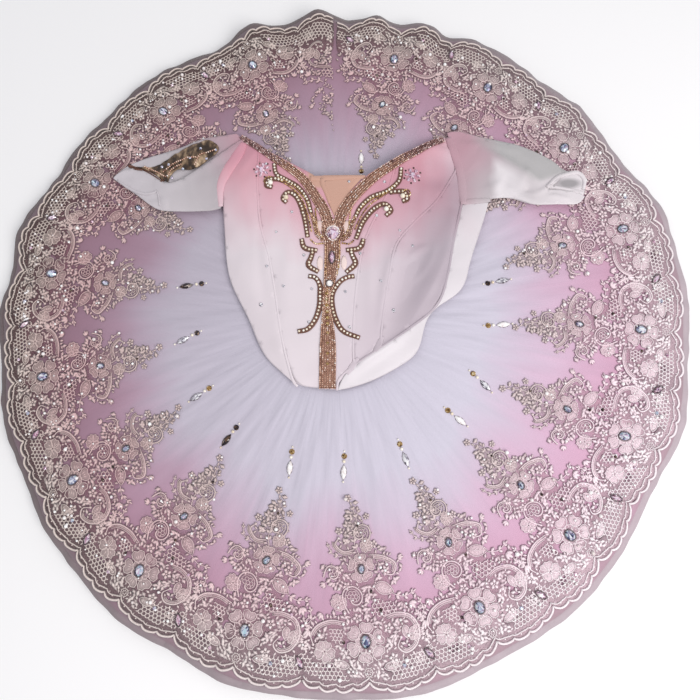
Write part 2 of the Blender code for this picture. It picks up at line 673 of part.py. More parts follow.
def trimmings(base):
    """Braids, beaded scrolls and large stones, each lying on the bodice's own surface."""
    for name, rows in BRAIDS.items():
        path = even_path(scaled(rows), BRAID_STEP)
        ribbon(name, path[:, :2], path[:, 2], BRAID_HEIGHT, base, "braid")
    for name, rows in SCROLLS.items():
        path = even_path(scaled(rows), SCROLL_STEP)
        share = np.linspace(0, math.pi, len(path))
        half = SCROLL_HALF_WIDTH * (SCROLL_TIP + (1 - SCROLL_TIP) * np.sin(share))
        ribbon(name, path, half, SCROLL_HEIGHT, base, "beads")
    for name, (x, y, half_width, half_length) in JEWELS.items():
        bm = bmesh.new()
        bmesh.ops.create_cone(bm, cap_ends=True, segments=12, radius1=1.0, radius2=0.55, depth=1.0)
        on = max(base((x + u) * MM, (y + v) * MM)
                 for u in (-half_width, 0, half_width) for v in (-half_length, 0, half_length))
        lift = on + LAYER_GAP + (BRAID_HEIGHT + LAYER_GAP if name != "jewel_centre" else LAYER_GAP)
        for corner in bm.verts:
            corner.co = Vector((x * MM + corner.co.x * half_width * MM,
                                y * MM + corner.co.y * half_length * MM,
                                lift + (corner.co.z + 0.5) * JEWEL_HEIGHT))
        finish(name, bm, "crystal")


# ---------------------------------------------------------------- the sleeves

def sleeve_layer(name, outline, lift, puff_from, puff, finish_name="chiffon"):
    """One flat layer of a sleeve, following the plate under it."""
    border = even_path([*outline, outline[0]], SLEEVE_BORDER)[:-1]
    plan, triangles = fill_plan(border, SLEEVE_SPACING)
    z = plate_height(np.hypot(plan[:, 0], plan[:, 1])) + lift
    z += puff * (1 - np.exp(-distance_to(plan, puff_from, True) / PUFF_REACH))
    points = np.column_stack([plan, z])
    wall(name, points, triangles, SLEEVE_WALL, finish_name)
    return surface_of(points, triangles)


def sleeves():
    for side, layers in SLEEVES.items():
        under = scaled(layers["under"])
        low = SLEEVE_REST + SLEEVE_WALL
        sleeve_layer(f"sleeve_{side}_under", under, low, under, 0.0)
        over = scaled(layers["over"])
        sleeve_layer(f"sleeve_{side}_over", over, low + SLEEVE_WALL + LAYER_GAP, over, SLEEVE_PUFF)


def armlet():
    """The beaded band in the left sleeve's mouth: a low crumpled mound on the lower layer."""
    border = even_path(scaled([*ARMLET, ARMLET[0]]), ARMLET_BORDER)[:-1]
    plan, triangles = fill_plan(border, ARMLET_SPACING)
    radius = np.hypot(plan[:, 0], plan[:, 1])
    floor = plate_height(radius) + SLEEVE_REST + SLEEVE_WALL + LAYER_GAP + ARMLET_WALL
    rise = 1 - np.exp(-distance_to(plan, border, True) / ARMLET_SLOPE)
    bump = 0.6 + 0.4 * np.sin(plan[:, 0] / ARMLET_BUMPS[0] + plan[:, 1] / ARMLET_BUMPS[1])
    return wall("armlet_left", np.column_stack([plan, floor + ARMLET_HEIGHT * rise * bump]),
                triangles, ARMLET_WALL, "beads")


for old in list(bpy.data.objects):
    bpy.data.objects.remove(old, do_unlink=True)
COLLECTION = bpy.data.collections.new("ballet_tutu")
bpy.context.scene.collection.children.link(COLLECTION)

knickers()
under_nets()
net_ring("net_edge", EDGE_NET_RINGS, TOP_NET_WALL + NET_SPACING, EDGE_NET_WALL, "net_edge")
lace_border(surface_of(*net_ring("net_top", TOP_NET_RINGS, 0.0, TOP_NET_WALL, "net_top")))
trimmings(bodice())
sleeves()
armlet()
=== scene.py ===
# %% [markdown]
# # A classical tutu, laid flat
# The plate of stiff net lies on the table and the bodice is flopped back over it, front side up.
# Everything here is dressed over a measured frame: each piece takes its place from the solid that
# it stands for, so nothing has to be fitted afterwards. We work in metres, with +Z up, the
# wearer's front towards -Y and the bodice towards +Y.

# %% Load the frame
import math

import bmesh
import bpy
import numpy as np
from mathutils import Matrix, Vector, noise
from mathutils.bvhtree import BVHTree


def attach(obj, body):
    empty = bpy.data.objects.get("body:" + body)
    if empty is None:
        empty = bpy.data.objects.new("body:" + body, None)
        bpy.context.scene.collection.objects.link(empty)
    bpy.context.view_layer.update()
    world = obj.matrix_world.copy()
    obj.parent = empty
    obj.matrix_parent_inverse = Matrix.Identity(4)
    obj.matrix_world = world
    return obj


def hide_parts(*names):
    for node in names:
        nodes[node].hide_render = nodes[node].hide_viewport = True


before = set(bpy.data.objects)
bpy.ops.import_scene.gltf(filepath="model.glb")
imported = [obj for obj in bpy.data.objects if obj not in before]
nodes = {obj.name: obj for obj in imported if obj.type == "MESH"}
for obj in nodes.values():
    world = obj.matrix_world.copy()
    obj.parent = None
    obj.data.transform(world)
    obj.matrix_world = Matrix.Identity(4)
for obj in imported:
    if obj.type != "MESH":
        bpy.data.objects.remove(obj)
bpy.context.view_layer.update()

MM = 0.001
random = np.random.default_rng(7)


def in_scene(name, data):
    """A new object with this data, linked into the scene."""
    made = bpy.data.objects.new(name, data)
    bpy.context.scene.collection.objects.link(made)
    return made


# %% [markdown]
# ## Camera, floor and light
# The tutu is looked at from almost straight above, a little from the wearer's front, with a wide
# lens quite close by. We build the camera's matrix by hand from its place and its target, because
# tracking helpers would roll it. The studio is one big soft lamp at the front right, a weaker one
# behind, and an even pale sky, so that the left and the back of the plate fall off gently.

# %% Camera
CAMERA_PLACE = Vector((0.0536, -0.2278, 0.8337))
CAMERA_TARGET = Vector((0.0212, -0.0504, 0.02))
LENS = 30

camera_data = bpy.data.cameras.new("camera")
camera_data.lens = LENS
camera_data.sensor_width = 36
camera = in_scene("camera", camera_data)
ahead = (CAMERA_TARGET - CAMERA_PLACE).normalized()
right = ahead.cross(Vector((0, 1, 0))).normalized()
upward = right.cross(ahead)
turned = Matrix((right, upward, -ahead)).transposed().to_4x4()
camera.matrix_world = Matrix.Translation(CAMERA_PLACE) @ turned
bpy.context.scene.camera = camera
print("camera", round((CAMERA_TARGET - CAMERA_PLACE).length, 3), "m from its target")

# %% Lights
LAMPS = (
    # name, place, size in metres, power in watts, colour
    ("key_lamp", (1.25, -1.15, 1.75), 1.6, 41, (1, 0.985, 0.97)),
    ("fill_lamp", (-0.9, 1.3, 1.9), 2.2, 7, (0.96, 0.97, 1)),
)
SKY = 0.54


def soft_lamp(name, place, size, power, warmth):
    lamp = bpy.data.lights.new(name, "AREA")
    lamp.shape = "DISK"
    lamp.size = size
    lamp.energy = power
    lamp.color = warmth
    holder = in_scene(name, lamp)
    holder.location = place
    holder.rotation_euler = (-Vector(place)).to_track_quat("-Z", "Y").to_euler()


for row in LAMPS:
    soft_lamp(*row)
sky = bpy.data.worlds.new("sky")
sky.use_nodes = True
sky.node_tree.nodes["Background"].inputs["Color"].default_value = (0.97, 0.975, 1, 1)
sky.node_tree.nodes["Background"].inputs["Strength"].default_value = SKY
bpy.context.scene.world = sky
bpy.context.scene.view_settings.view_transform = "Standard"
print("lamps", [row[0] for row in LAMPS], "under a sky of", SKY)

# %% [markdown]
# ## A small kit for materials
# Every finish here is made of shader nodes. `Finish` keeps the wiring short: each method adds a
# node and gives back the socket that it makes. Patterns read Object coordinates, which are metres
# in the frame, because every piece keeps its object at the origin.


def screen(red, green, blue):
    """A colour as a screen shows it, 0 to 255, turned into Blender's linear one."""
    linear = []
    for value in (red / 255, green / 255, blue / 255):
        linear.append(((value + 0.055) / 1.055) ** 2.4 if value > 0.04045 else value / 12.92)
    return (*linear, 1)


class Finish:
    """A material that is being wired. Its methods add nodes and give their output sockets."""

    def __init__(self, name, roughness=0.8, **settings):
        self.material = bpy.data.materials.new(name)
        self.material.use_nodes = True
        self.tree = self.material.node_tree
        self.shader = self.tree.nodes["Principled BSDF"]
        self.shader.inputs["Roughness"].default_value = roughness
        for socket, value in settings.items():
            self.shader.inputs[socket.replace("_", " ")].default_value = value
        self.coordinates = self.add("ShaderNodeTexCoord").outputs["Object"]

    def add(self, kind, **values):
        node = self.tree.nodes.new(kind)
        for key, value in values.items():
            setattr(node, key, value)
        return node

    def feed(self, socket, value):
        if isinstance(value, bpy.types.NodeSocket):
            self.tree.links.new(value, socket)
        else:
            socket.default_value = value[:3] if socket.type == "VECTOR" else value

    def math(self, operation, first, second=0, third=0):
        node = self.add("ShaderNodeMath", operation=operation)
        for socket, value in zip(node.inputs, (first, second, third)):
            self.feed(socket, value)
        return node.outputs[0]

    def plus(self, first, second):
        return self.math("ADD", first, second)

    def times(self, value, factor, rest=0):
        """A value times a factor, with the rest added."""
        return self.math("MULTIPLY_ADD", value, factor, rest)

    def past(self, value, start):
        """How far a value is past its start, and 0 before it."""
        return self.math("MAXIMUM", self.plus(value, -start), 0)

    def vector(self, operation, first, second=(0, 0, 0), output="Vector"):
        node = self.add("ShaderNodeVectorMath", operation=operation)
        self.feed(node.inputs[0], first)
        if operation == "SCALE":
            self.feed(node.inputs["Scale"], second)
        else:
            self.feed(node.inputs[1], second)
        return node.outputs[output]

    def stretched(self, *factors):
        """The coordinates, each times its own factor."""
        return self.vector("MULTIPLY", self.coordinates, factors)

    def length(self, vector):
        return self.vector("LENGTH", vector, output="Value")

    def noise(self, scale, detail=2, where=None):
        node = self.add("ShaderNodeTexNoise")
        self.feed(node.inputs["Vector"], where or self.coordinates)
        node.inputs["Scale"].default_value = scale
        node.inputs["Detail"].default_value = detail
        return node.outputs["Fac"]

    def cells(self, scale):
        """Distance to the edges of small cells, the mesh of a net."""
        node = self.add("ShaderNodeTexVoronoi", feature="DISTANCE_TO_EDGE")
        self.feed(node.inputs["Vector"], self.coordinates)
        node.inputs["Scale"].default_value = scale
        return node.outputs["Distance"]

    def mask(self, factor, *stops):
        """A ramp through stops of a place and a share from 0 to 1, or a ready colour."""
        node = self.add("ShaderNodeValToRGB")
        self.feed(node.inputs["Fac"], factor)
        elements = node.color_ramp.elements
        while len(elements) < len(stops):
            elements.new(0.5)
        for element, (place, value) in zip(elements, stops):
            element.position = place
            element.color = value if isinstance(value, tuple) else (value,) * 4
        return node.outputs["Color"]

    def ramp(self, factor, stops):
        """A ramp through stops of a place and the red, green and blue on a screen."""
        return self.mask(factor, *[(place, screen(*colour)) for place, *colour in stops])

    def mix(self, factor, first, second, blend="MIX"):
        node = self.add("ShaderNodeMix", data_type="RGBA", blend_type=blend)
        self.feed(node.inputs[0], factor)
        self.feed(node.inputs[6], first)
        self.feed(node.inputs[7], second)
        return node.outputs[2]

    def through(self, first, second):
        """One colour or mask seen through another."""
        return self.mix(1, first, second, "MULTIPLY")

    def axes(self):
        node = self.add("ShaderNodeSeparateXYZ")
        self.feed(node.inputs[0], self.coordinates)
        return node.outputs

    def twill(self, scale):
        """Fine slanting lines, as of a weave or a twist."""
        x, y, _ = self.axes()
        return self.math("SINE", self.times(self.plus(x, y), scale))

    def carried(self, name):
        """A number that the mesh carries at its points or faces."""
        return self.add("ShaderNodeAttribute", attribute_name=name).outputs["Fac"]

    def brightened(self, colour, noise, amount):
        """A colour that runs lighter and darker with a noise, by a share either way."""
        return self.vector("SCALE", colour, self.times(noise, 2 * amount, 1 - amount))

    def colour(self, value, noise=None, amount=0):
        if noise:
            value = self.brightened(value, noise, amount)
        self.feed(self.shader.inputs["Base Color"], value)

    def bump(self, height, distance, strength=1):
        node = self.add("ShaderNodeBump")
        self.feed(node.inputs["Height"], height)
        node.inputs["Distance"].default_value = distance
        node.inputs["Strength"].default_value = strength
        self.tree.links.new(node.outputs["Normal"], self.shader.inputs["Normal"])


print("mid grey on a screen is", round(screen(128, 128, 128)[0], 3), "in linear light")

# %% [markdown]
# ## The plate's own shape
# A pancake tutu is a stack of gathered net that stands out stiffly from the hips. The frame holds
# the top net as a ring that sinks towards its rim, sways in and out a little and ruffles up at the
# centre back. We read its outer edge once, at every half degree, and `plate` then gives any point
# of that surface from a radius and an angle. All nets, the lace and the stones are laid with it.

# %% The rim, read from the frame
HIP_RADIUS = 0.104
HIP_TOP = 0.034
LACE_RADIUS = 0.478
RIM_TOP = 0.020
TOP_RADIUS = 0.4915
PLATE_RADIUS = 0.500
SWAY = (0.30, 0.50)  # radii between which the rim's sway grows in
RUFFLE = (0.35, 0.54)
AROUND = np.arange(0, 360, 0.5)


def smoothstep(low, high, value):
    share = np.clip((value - low) / (high - low), 0, 1)
    return share * share * (3 - 2 * share)


def outer_edge(node, least):
    """Radius and height of a net's upper edge at AROUND, from the outermost points of its node."""
    points = np.array([v.co for v in nodes[node].data.vertices])
    radius = np.hypot(points[:, 0], points[:, 1])
    points, radius = points[radius > least], radius[radius > least]
    angle = np.round(np.degrees(np.arctan2(points[:, 1], points[:, 0])) % 360, 2)
    places = np.unique(angle)
    reach = [radius[angle == place].max() for place in places]
    top = [points[angle == place, 2].max() for place in places]
    found = []
    for values in (reach, top):
        fine = np.interp(AROUND, places, values, period=360)
        for _ in range(3):
            fine = (np.roll(fine, 1) + 2 * fine + np.roll(fine, -1)) / 4
        found.append(fine)
    return found


def level(radius):
    """Height of the top net where it lies without a wave."""
    return HIP_TOP + (RIM_TOP - HIP_TOP) * (radius - HIP_RADIUS) / (LACE_RADIUS - HIP_RADIUS)


rim_reach, rim_top = outer_edge("net_top", 0.475)
rim_reach = (rim_reach - TOP_RADIUS) / smoothstep(*SWAY, TOP_RADIUS)
rim_rise = (rim_top - level(TOP_RADIUS)) / smoothstep(*RUFFLE, TOP_RADIUS)
print("rim sways", np.round([rim_reach.min() / MM, rim_reach.max() / MM], 1), "mm")

# %% Gathers, and any point of the plate
GATHERS = (
    # how many round the plate, height in mm, drift with the radius, start
    (13, 0.50, 3, 0.4), (29, 0.40, -5, 2.1), (47, 0.32, 7, 4), (71, 0.24, -9, 1.2),
    (113, 0.16, 11, 5.1),
)


def around(values, angle):
    return np.interp(np.asarray(angle) % 360, AROUND, values, period=360)


def gathers(radius, turn):
    """Height of the net's soft radial gathers."""
    height = 0
    for count, size, drift, start in GATHERS:
        height = height + size * MM * np.sin(count * turn + drift * radius * 6 + start)
    return height * smoothstep(0.10, 0.17, radius)


def plate(radius, angle, lift=0):
    """Points of the top net: radius and angle are as on a flat round plate, in m and degrees."""
    radius, angle = np.broadcast_arrays(radius, angle)
    turn = np.radians(angle)
    out = radius + around(rim_reach, angle) * smoothstep(*SWAY, radius)
    rise = around(rim_rise, angle) * smoothstep(*RUFFLE, radius)
    z = level(radius) + rise + gathers(radius, turn) + lift
    return np.stack([out * np.cos(turn), out * np.sin(turn), z], axis=-1)


def on_plate(x, y, lift=0):
    """Height of the top net over points of the table."""
    angle = np.degrees(np.arctan2(y, x))
    out = np.hypot(x, y)
    radius = out
    for _ in range(4):
        radius = out - around(rim_reach, angle) * smoothstep(*SWAY, radius)
    return plate(radius, angle, lift)[..., 2]


for title, radius in (("hips", HIP_RADIUS), ("rim", TOP_RADIUS)):
    print("plate at the", title, plate(radius, 0).round(4))

# %% [markdown]
# ## Small tools for sheets
# A sheet of net is a grid bent round the plate. We make the grid as one open surface in mesh code
# and let a Solidify modifier give it its thickness, so it is a true closed shell in the end.


# %% Sheets and shells
def new_piece(name, points, faces, finish, smooth=True):
    """A mesh object at the origin, with its place in its mesh."""
    mesh = bpy.data.meshes.new(name)
    mesh.from_pydata(np.asarray(points).tolist(), [], faces)
    mesh.materials.append(finish.material)
    mesh.update()
    if smooth:
        mesh.shade_smooth()
    return in_scene(name, mesh)


def ring_faces(rows, columns):
    """Quads of a grid that is stored row by row and closed round its columns."""
    row, column = np.meshgrid(np.arange(rows - 1), np.arange(columns), indexing="ij")
    nearer, after = row * columns + column, row * columns + (column + 1) % columns
    return np.stack([nearer, nearer + columns, after + columns, after], -1).reshape(-1, 4)


def pick(*pieces):
    """Selects these pieces only, the first of them active."""
    bpy.ops.object.select_all(action="DESELECT")
    for piece in pieces:
        piece.select_set(True)
    bpy.context.view_layer.objects.active = pieces[0]


def apply_modifier(piece, kind, **settings):
    pick(piece)
    modifier = piece.modifiers.new(kind.lower(), kind)
    for key, value in settings.items():
        setattr(modifier, key, value)
    bpy.ops.object.modifier_apply(modifier=modifier.name)


def shell(piece, thickness):
    """Turns an open sheet into a closed one that is as thick as given, downwards."""
    apply_modifier(piece, "SOLIDIFY", thickness=thickness, offset=-1)
    piece.data.shade_smooth()


def triangles(piece):
    piece.data.calc_loop_triangles()
    return len(piece.data.loop_triangles)


def dressed(piece, slot, *replaced):
    """Hangs a piece on the frame: it rides and stands for its nodes, which are hidden. Its slot is
    only printed.
    """
    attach(piece, "root")
    if replaced:
        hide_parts(*replaced)
    print(piece.name, "in", slot, "-", triangles(piece), "triangles")
    return piece


def marked(piece, name, values, domain="POINT"):
    """Lets a mesh carry a number at each of its points or faces, for its finish to read."""
    layer = piece.data.attributes.new(name, "FLOAT", domain)
    layer.data.foreach_set("value", values.astype(np.float32))
    return piece


def facing_out(piece):
    """Drops loose points and turns every face outwards."""
    bm = bmesh.new()
    bm.from_mesh(piece.data)
    bmesh.ops.delete(bm, geom=[v for v in bm.verts if not v.link_faces], context="VERTS")
    bmesh.ops.recalc_face_normals(bm, faces=bm.faces)
    bm.to_mesh(piece.data)
    bm.free()
    return piece


print("3 rows of 8 points close to", len(ring_faces(3, 8)), "quads")

# %% [markdown]
# ## The floor
# A plain pale floor, a hair below the tutu's underside so that the two never share a plane.

# %% Floor
FLOOR_SIZE = 9
FLOOR_DROP = 0.2 * MM

bpy.ops.mesh.primitive_plane_add(size=FLOOR_SIZE)
floor = bpy.context.active_object
floor.name = "floor"
floor.data.transform(Matrix.Translation((0, 0, -FLOOR_DROP)))
paper = Finish("floor_paper", roughness=0.9)
paper.colour(screen(250, 249, 250), paper.noise(1.5), 0.01)
floor.data.materials.append(paper.material)
print("floor", FLOOR_SIZE, "m wide,", FLOOR_DROP / MM, "mm below the tutu")

# %% [markdown]
# ## Dyed net
# The top net is dyed by hand: blue-white at the hips, mauve pink from half way out and a dusky
# mauve at the rim. The dye runs in radial streaks along the gathers and in soft clouds. Away from
# the lamp, towards the back left, the colour is painted darker: mostly painted shade where the
# lamp's light falls off, with some real unevenness of the dye. So the colour is a mix of two ramps
# over the radius, a lit one and one with painted shade, and the radius is first disturbed by
# noise that is stretched along the gathers.
# The net's own mesh is finer than a millimetre, so it is a fine cell pattern in the bump and a
# trace of it in the colour.

# %% Net finishes
DYE = (
    # radius as a share of half a metre, colour
    (0.20, 219, 216, 231), (0.46, 218, 213, 229), (0.56, 218, 202, 221), (0.64, 220, 189, 212),
    (0.72, 217, 177, 202), (0.80, 211, 166, 191), (0.88, 197, 155, 178), (0.94, 182, 148, 164),
    (1.00, 170, 142, 153),
)
# the same ramp with shade painted in, for the side of the plate away from the lamp
DYE_PAINTED_SHADE = (
    (0.20, 185, 178, 192), (0.46, 182, 173, 187), (0.56, 174, 154, 171), (0.64, 166, 136, 154),
    (0.72, 158, 124, 142), (0.80, 151, 116, 133), (0.88, 140, 107, 122), (0.94, 130, 102, 114),
    (1.00, 120, 98, 106),
)
LAMP_SIDE = (0.85, -0.53, 0)  # the direction of the lamp; away from it, shade is painted into the colours
LAMP_FACING_STOPS = ((0, 0), (0.31, 0.12), (0.59, 0.38), (0.70, 0.58), (0.88, 0.88), (0.95, 1))
NET_MESH = 1100  # cells to the metre


def polar(finish):
    """The radius and the outward direction of a point, as two sockets."""
    flat = finish.stretched(1, 1, 0)
    return finish.length(flat), finish.vector("NORMALIZE", flat)


def towards_lamp(finish):
    return finish.vector("DOT_PRODUCT", finish.coordinates, LAMP_SIDE, output="Value")


def lamp_facing(finish):
    """0 where the most shade is painted in, away from the lamp, and 1 on the side that faces it.
    """
    return finish.mask(finish.times(towards_lamp(finish), 1.1, 0.45), *LAMP_FACING_STOPS)


def outwards(finish, start, stop, first=0, last=1):
    """A mask over the radius, which is given as a share of half a metre."""
    return finish.mask(finish.times(polar(finish)[0], 2), (start, first), (stop, last))


def streaks(finish, radius, direction, round_the_plate, along):
    """Noise that is drawn out along the radius."""
    spread = finish.vector("SCALE", direction, round_the_plate)
    depth = finish.add("ShaderNodeCombineXYZ")
    finish.feed(depth.inputs["Z"], finish.times(radius, along))
    return finish.noise(1, 3, finish.vector("ADD", spread, depth.outputs[0]))


def net_finish(name, stops, shade_stops, alpha=1):
    finish = Finish(name, roughness=0.85, Sheen_Weight=0.25, Sheen_Roughness=0.5, Alpha=alpha)
    radius, direction = polar(finish)
    broad = streaks(finish, radius, direction, 5, 3)
    narrow = streaks(finish, radius, direction, 38, 5)
    cloud = finish.noise(6, 2)
    moved = radius
    for unevenness, amount in ((broad, 0.10), (cloud, 0.09), (narrow, 0.030)):
        moved = finish.times(unevenness, amount, moved)
    moved = finish.times(moved, 2, -0.22)
    # the colour leans from the ramp with painted shade to the lit ramp as the net faces the lamp
    lamp_share = finish.times(towards_lamp(finish), 1.45, 0.43)
    dye_with_painted_light = finish.mix(lamp_share, finish.ramp(moved, shade_stops), finish.ramp(moved, stops))
    mesh = finish.cells(NET_MESH)
    thread = finish.mask(mesh, (0, 1), (0.25, 0.90))
    dye_with_painted_light = finish.mix(0.6, dye_with_painted_light, finish.through(dye_with_painted_light, thread))
    finish.colour(finish.brightened(dye_with_painted_light, narrow, 0.07), broad, 0.06)
    finish.bump(finish.plus(narrow, finish.times(mesh, 0.3)), 0.0012, 0.5)
    return finish


net_dyed = net_finish("net_dyed", DYE, DYE_PAINTED_SHADE)
# each net has a lit ramp and a darker one with shade painted in, for the side away from the lamp
net_edge_finish = net_finish("net_edge", (
    (0, 206, 186, 196), (0.86, 200, 180, 190), (1, 192, 176, 184),
), (
    (0, 144, 118, 128), (0.86, 130, 110, 116), (1, 116, 100, 102),
), alpha=0.90)
net_hidden = net_finish("net_hidden", (
    (0, 226, 216, 226), (0.80, 206, 186, 202), (1, 178, 152, 165),
), (
    (0, 184, 170, 180), (0.80, 164, 142, 156), (1, 136, 112, 122),
))
print("net finishes", [net.material.name for net in (net_dyed, net_edge_finish, net_hidden)])

# %% [markdown]
# ## The top net
# One ring of net from the basque out to the rim. It could be a cloth simulation, but a gathered
# stiff net has a regular radial set that is easier to place as listed, so it is the plate's own
# surface, sampled finely enough to hold the gathers.

# %% Top net
TOP_ROWS = 38
TOP_COLUMNS = 600
TOP_NET_WALL = 0.0010


def net_sheet(name, radii, columns, finish, shape):
    angles = np.arange(columns) * 360 / columns
    radius, angle = np.meshgrid(radii, angles, indexing="ij")
    points = shape(radius, angle).reshape(-1, 3)
    return new_piece(name, points, ring_faces(len(radii), columns).tolist(), finish)


top_net = net_sheet("top_net", np.linspace(HIP_RADIUS, TOP_RADIUS, TOP_ROWS), TOP_COLUMNS,
                    net_dyed, plate)
shell(top_net, TOP_NET_WALL)
dressed(top_net, "net_ombre", "net_top")

# %% [markdown]
# ## The edge net
# Beyond the lace a raw edge of dusky net shows all round, a finger wide, slightly frilled and a
# little see-through. It is two plies that lie just under the top net; each is frilled by itself,
# so that their edges part here and there.

# %% Edge net
EDGE_START = 0.425
EDGE_COLUMNS = 540
EDGE_ROWS = 9
EDGE_WALL = 0.0004
EDGE_PLIES = (
    # drop below the top net, frill waves, frill height in mm, how far it reaches past the rim
    (2.6, (61, 97), 0.9, 0.8), (4, (53, 83), 1.1, -2.2),
)
edge_reach, edge_top = outer_edge("net_edge", 0.483)


def frilled(drop, waves, size, reach):
    def shape(radius, angle):
        turn = np.radians(angle)
        share = smoothstep(EDGE_START, PLATE_RADIUS, radius)
        ragged = (np.sin(waves[0] * turn / 3) + np.sin(waves[1] * turn / 4 + 1)) * 0.7
        points = plate(radius + (reach + ragged) * MM * share, angle, -drop * MM)
        frill = np.sin(waves[0] * turn + 2) + 0.7 * np.sin(waves[1] * turn)
        points[..., 2] += frill * size * MM * share ** 2 - 0.8 * MM * share
        return points
    return shape


plies = []
for order, row in enumerate(EDGE_PLIES):
    ply = net_sheet(f"edge_ply_{order}", np.linspace(EDGE_START, PLATE_RADIUS, EDGE_ROWS),
                    EDGE_COLUMNS, net_edge_finish, frilled(*row))
    shell(ply, EDGE_WALL)
    plies.append(ply)


def joined(name, pieces):
    pick(*pieces)
    bpy.ops.object.join()
    pieces[0].name = pieces[0].data.name = name
    return pieces[0]


edge_net = joined("edge_net", plies)
dressed(edge_net, "net_mauve", "net_edge")

# %% [markdown]
# ## The hidden tiers
# Under the top net lie the tiers that hold it up. Each is a gathered frill that starts at the
# knickers and is trimmed a little shorter than the one above. From the side only their edges
# show, so each tier is its own thin sheet with its own frill at the rim, and the lowest lies flat
# on the table.

# %% Tiers
TIERS = (
    # radius at the rim, height at the hips and at the rim in mm, frill waves, frill height in mm
    (0.474, 1, 1, 40, 0), (0.476, 5, 2.6, 52, 0.7), (0.479, 10, 4.6, 64, 1.1),
    (0.482, 15, 7, 47, 1.2), (0.484, 20, 9.4, 71, 1.2), (0.487, 25, 11.8, 58, 1.2),
)
TIER_START = 0.108
TIER_COLUMNS = 360
TIER_WALL = 0.0008
TIER_ROWS = (TIER_START, 0.18, 0.26, 0.33, 0.38, 0.42, 0.445, 0.465)


def tier_shape(reach, at_hips, at_rim, waves, frill):
    def shape(radius, angle):
        turn = np.radians(angle)
        share = (radius - TIER_START) / (reach - TIER_START)
        out = radius + 2.5 * MM * share ** 4 * np.sin(waves / 3 * turn + waves)
        z = (at_hips + (at_rim - at_hips) * share) * MM
        z = z + frill * MM * share ** 5 * (np.sin(waves * turn) + 0.5 * np.sin(17 * turn + waves))
        return np.stack([out * np.cos(turn), out * np.sin(turn), z], axis=-1)
    return shape


tiers = []
for order, row in enumerate(TIERS):
    tier = net_sheet(f"tier_{order}", (*TIER_ROWS, row[0]), TIER_COLUMNS, net_hidden,
                     tier_shape(*row))
    shell(tier, TIER_WALL)
    tiers.append(tier)
net_tiers = joined("net_tiers", tiers)
dressed(net_tiers, "net_hidden", "net_under")

# %% [markdown]
# ## Panels cut by the frame
# Each panel of the bodice is already in the frame, with its outline and its lie. We take the upper
# faces of its solid as the pattern piece, smooth it with a Subdivision Surface modifier, lay the
# listed folds on it, and give it its thickness again. So a seam stays exactly where it is sewn.


# %% A panel's own surface
def welded(node):
    """A node's mesh as a bmesh with its loose triangles merged. The node itself is left alone."""
    bm = bmesh.new()
    bm.from_mesh(nodes[node].data)
    bmesh.ops.remove_doubles(bm, verts=bm.verts, dist=1e-5)
    bm.normal_update()
    return bm


def upper_sheet(node, name, finish, levels):
    """The upper faces of a node's solid as an open, smooth sheet."""
    bm = welded(node)
    under = [face for face in bm.faces if face.normal.z < 0.15]
    bmesh.ops.delete(bm, geom=under, context="FACES")
    loose = [vert for vert in bm.verts if not vert.link_faces]
    bmesh.ops.delete(bm, geom=loose, context="VERTS")
    mesh = bpy.data.meshes.new(name)
    bm.to_mesh(mesh)
    bm.free()
    mesh.materials.clear()
    mesh.materials.append(finish.material)
    for face in mesh.polygons:
        face.material_index = 0
    piece = in_scene(name, mesh)
    apply_modifier(piece, "SUBSURF", levels=levels, render_levels=levels,
                   boundary_smooth="PRESERVE_CORNERS")
    piece.data.shade_smooth()
    return piece


def points_of(piece):
    points = np.empty(len(piece.data.vertices) * 3)
    piece.data.vertices.foreach_get("co", points)
    return points.reshape(-1, 3)


def move_to(piece, points):
    piece.data.vertices.foreach_set("co", points.ravel())
    piece.data.update()


print("a panel:", len(welded("bodice_front_left").faces), "faces in its solid")


# %% Folds and rumples
def to_span(points, a, b):
    """How far along a span the place nearest to each point is, 0 to 1, and the way from it."""
    span = b - a
    share = np.clip(((points - a) @ span) / (span @ span), 0, 1)
    return share, points - a - share[:, None] * span


def distance_to(points, path):
    """Distance from a path, how far along it the nearest point is, 0 to 1, and the side."""
    best = np.full(len(points), np.inf)
    along, side = np.zeros(len(points)), np.ones(len(points))
    lengths = np.linalg.norm(np.diff(path, axis=0), axis=1)
    run = np.r_[0, np.cumsum(lengths)]
    for k, (a, b) in enumerate(zip(path[:-1], path[1:])):
        share, away = to_span(points, a, b)
        distance = np.linalg.norm(away, axis=1)
        nearer = distance < best
        best[nearer] = distance[nearer]
        along[nearer] = ((run[k] + share * lengths[k]) / run[-1])[nearer]
        side[nearer] = np.sign((b - a)[0] * away[:, 1] - (b - a)[1] * away[:, 0])[nearer]
    return best, along, side


def smooth_path(rows, steps=10):
    """A curve through rows of points, by the Catmull-Rom rule."""
    rows = np.array(rows, float)
    ends = np.vstack([2 * rows[0] - rows[1], rows, 2 * rows[-1] - rows[-2]])
    share = np.linspace(0, 1, steps, endpoint=False)[:, None]
    spans = []
    for a, b, c, d in zip(ends, ends[1:], ends[2:], ends[3:]):
        spans.append(0.5 * (2 * b + (c - a) * share + (2 * a - 5 * b + 4 * c - d) * share ** 2
                            + (3 * b - a - 3 * c + d) * share ** 3))
    return np.vstack([*spans, rows[-1:]])


def folded(points, folds):
    """Adds each fold to a sheet: a rounded ridge, or a groove, that fades out at both ends."""
    lifted = points.copy()
    for height, left, right, rows in folds:
        path = smooth_path(rows) * MM
        distance, along, side = distance_to(points[:, :2], path)
        width = np.where(side > 0, left, right) * MM
        ends = np.clip(np.sin(np.pi * np.clip(along, 0.02, 0.98)), 0, 1) ** 0.5
        lifted[:, 2] += height * MM * ends * np.exp(-(distance / width) ** 2)
    return lifted


def rumpled(points, size, height, seed):
    """Small uneven rises, as in cloth that isn't pressed."""
    lifted = points.copy()
    for point in lifted:
        place = Vector((point[0] / size, point[1] / size, seed))
        point[2] += height * noise.noise(place)
    return lifted


print("a curve through 4 points has", len(smooth_path(((0, 0), (1, 2), (3, 2), (4, 0)))), "points")
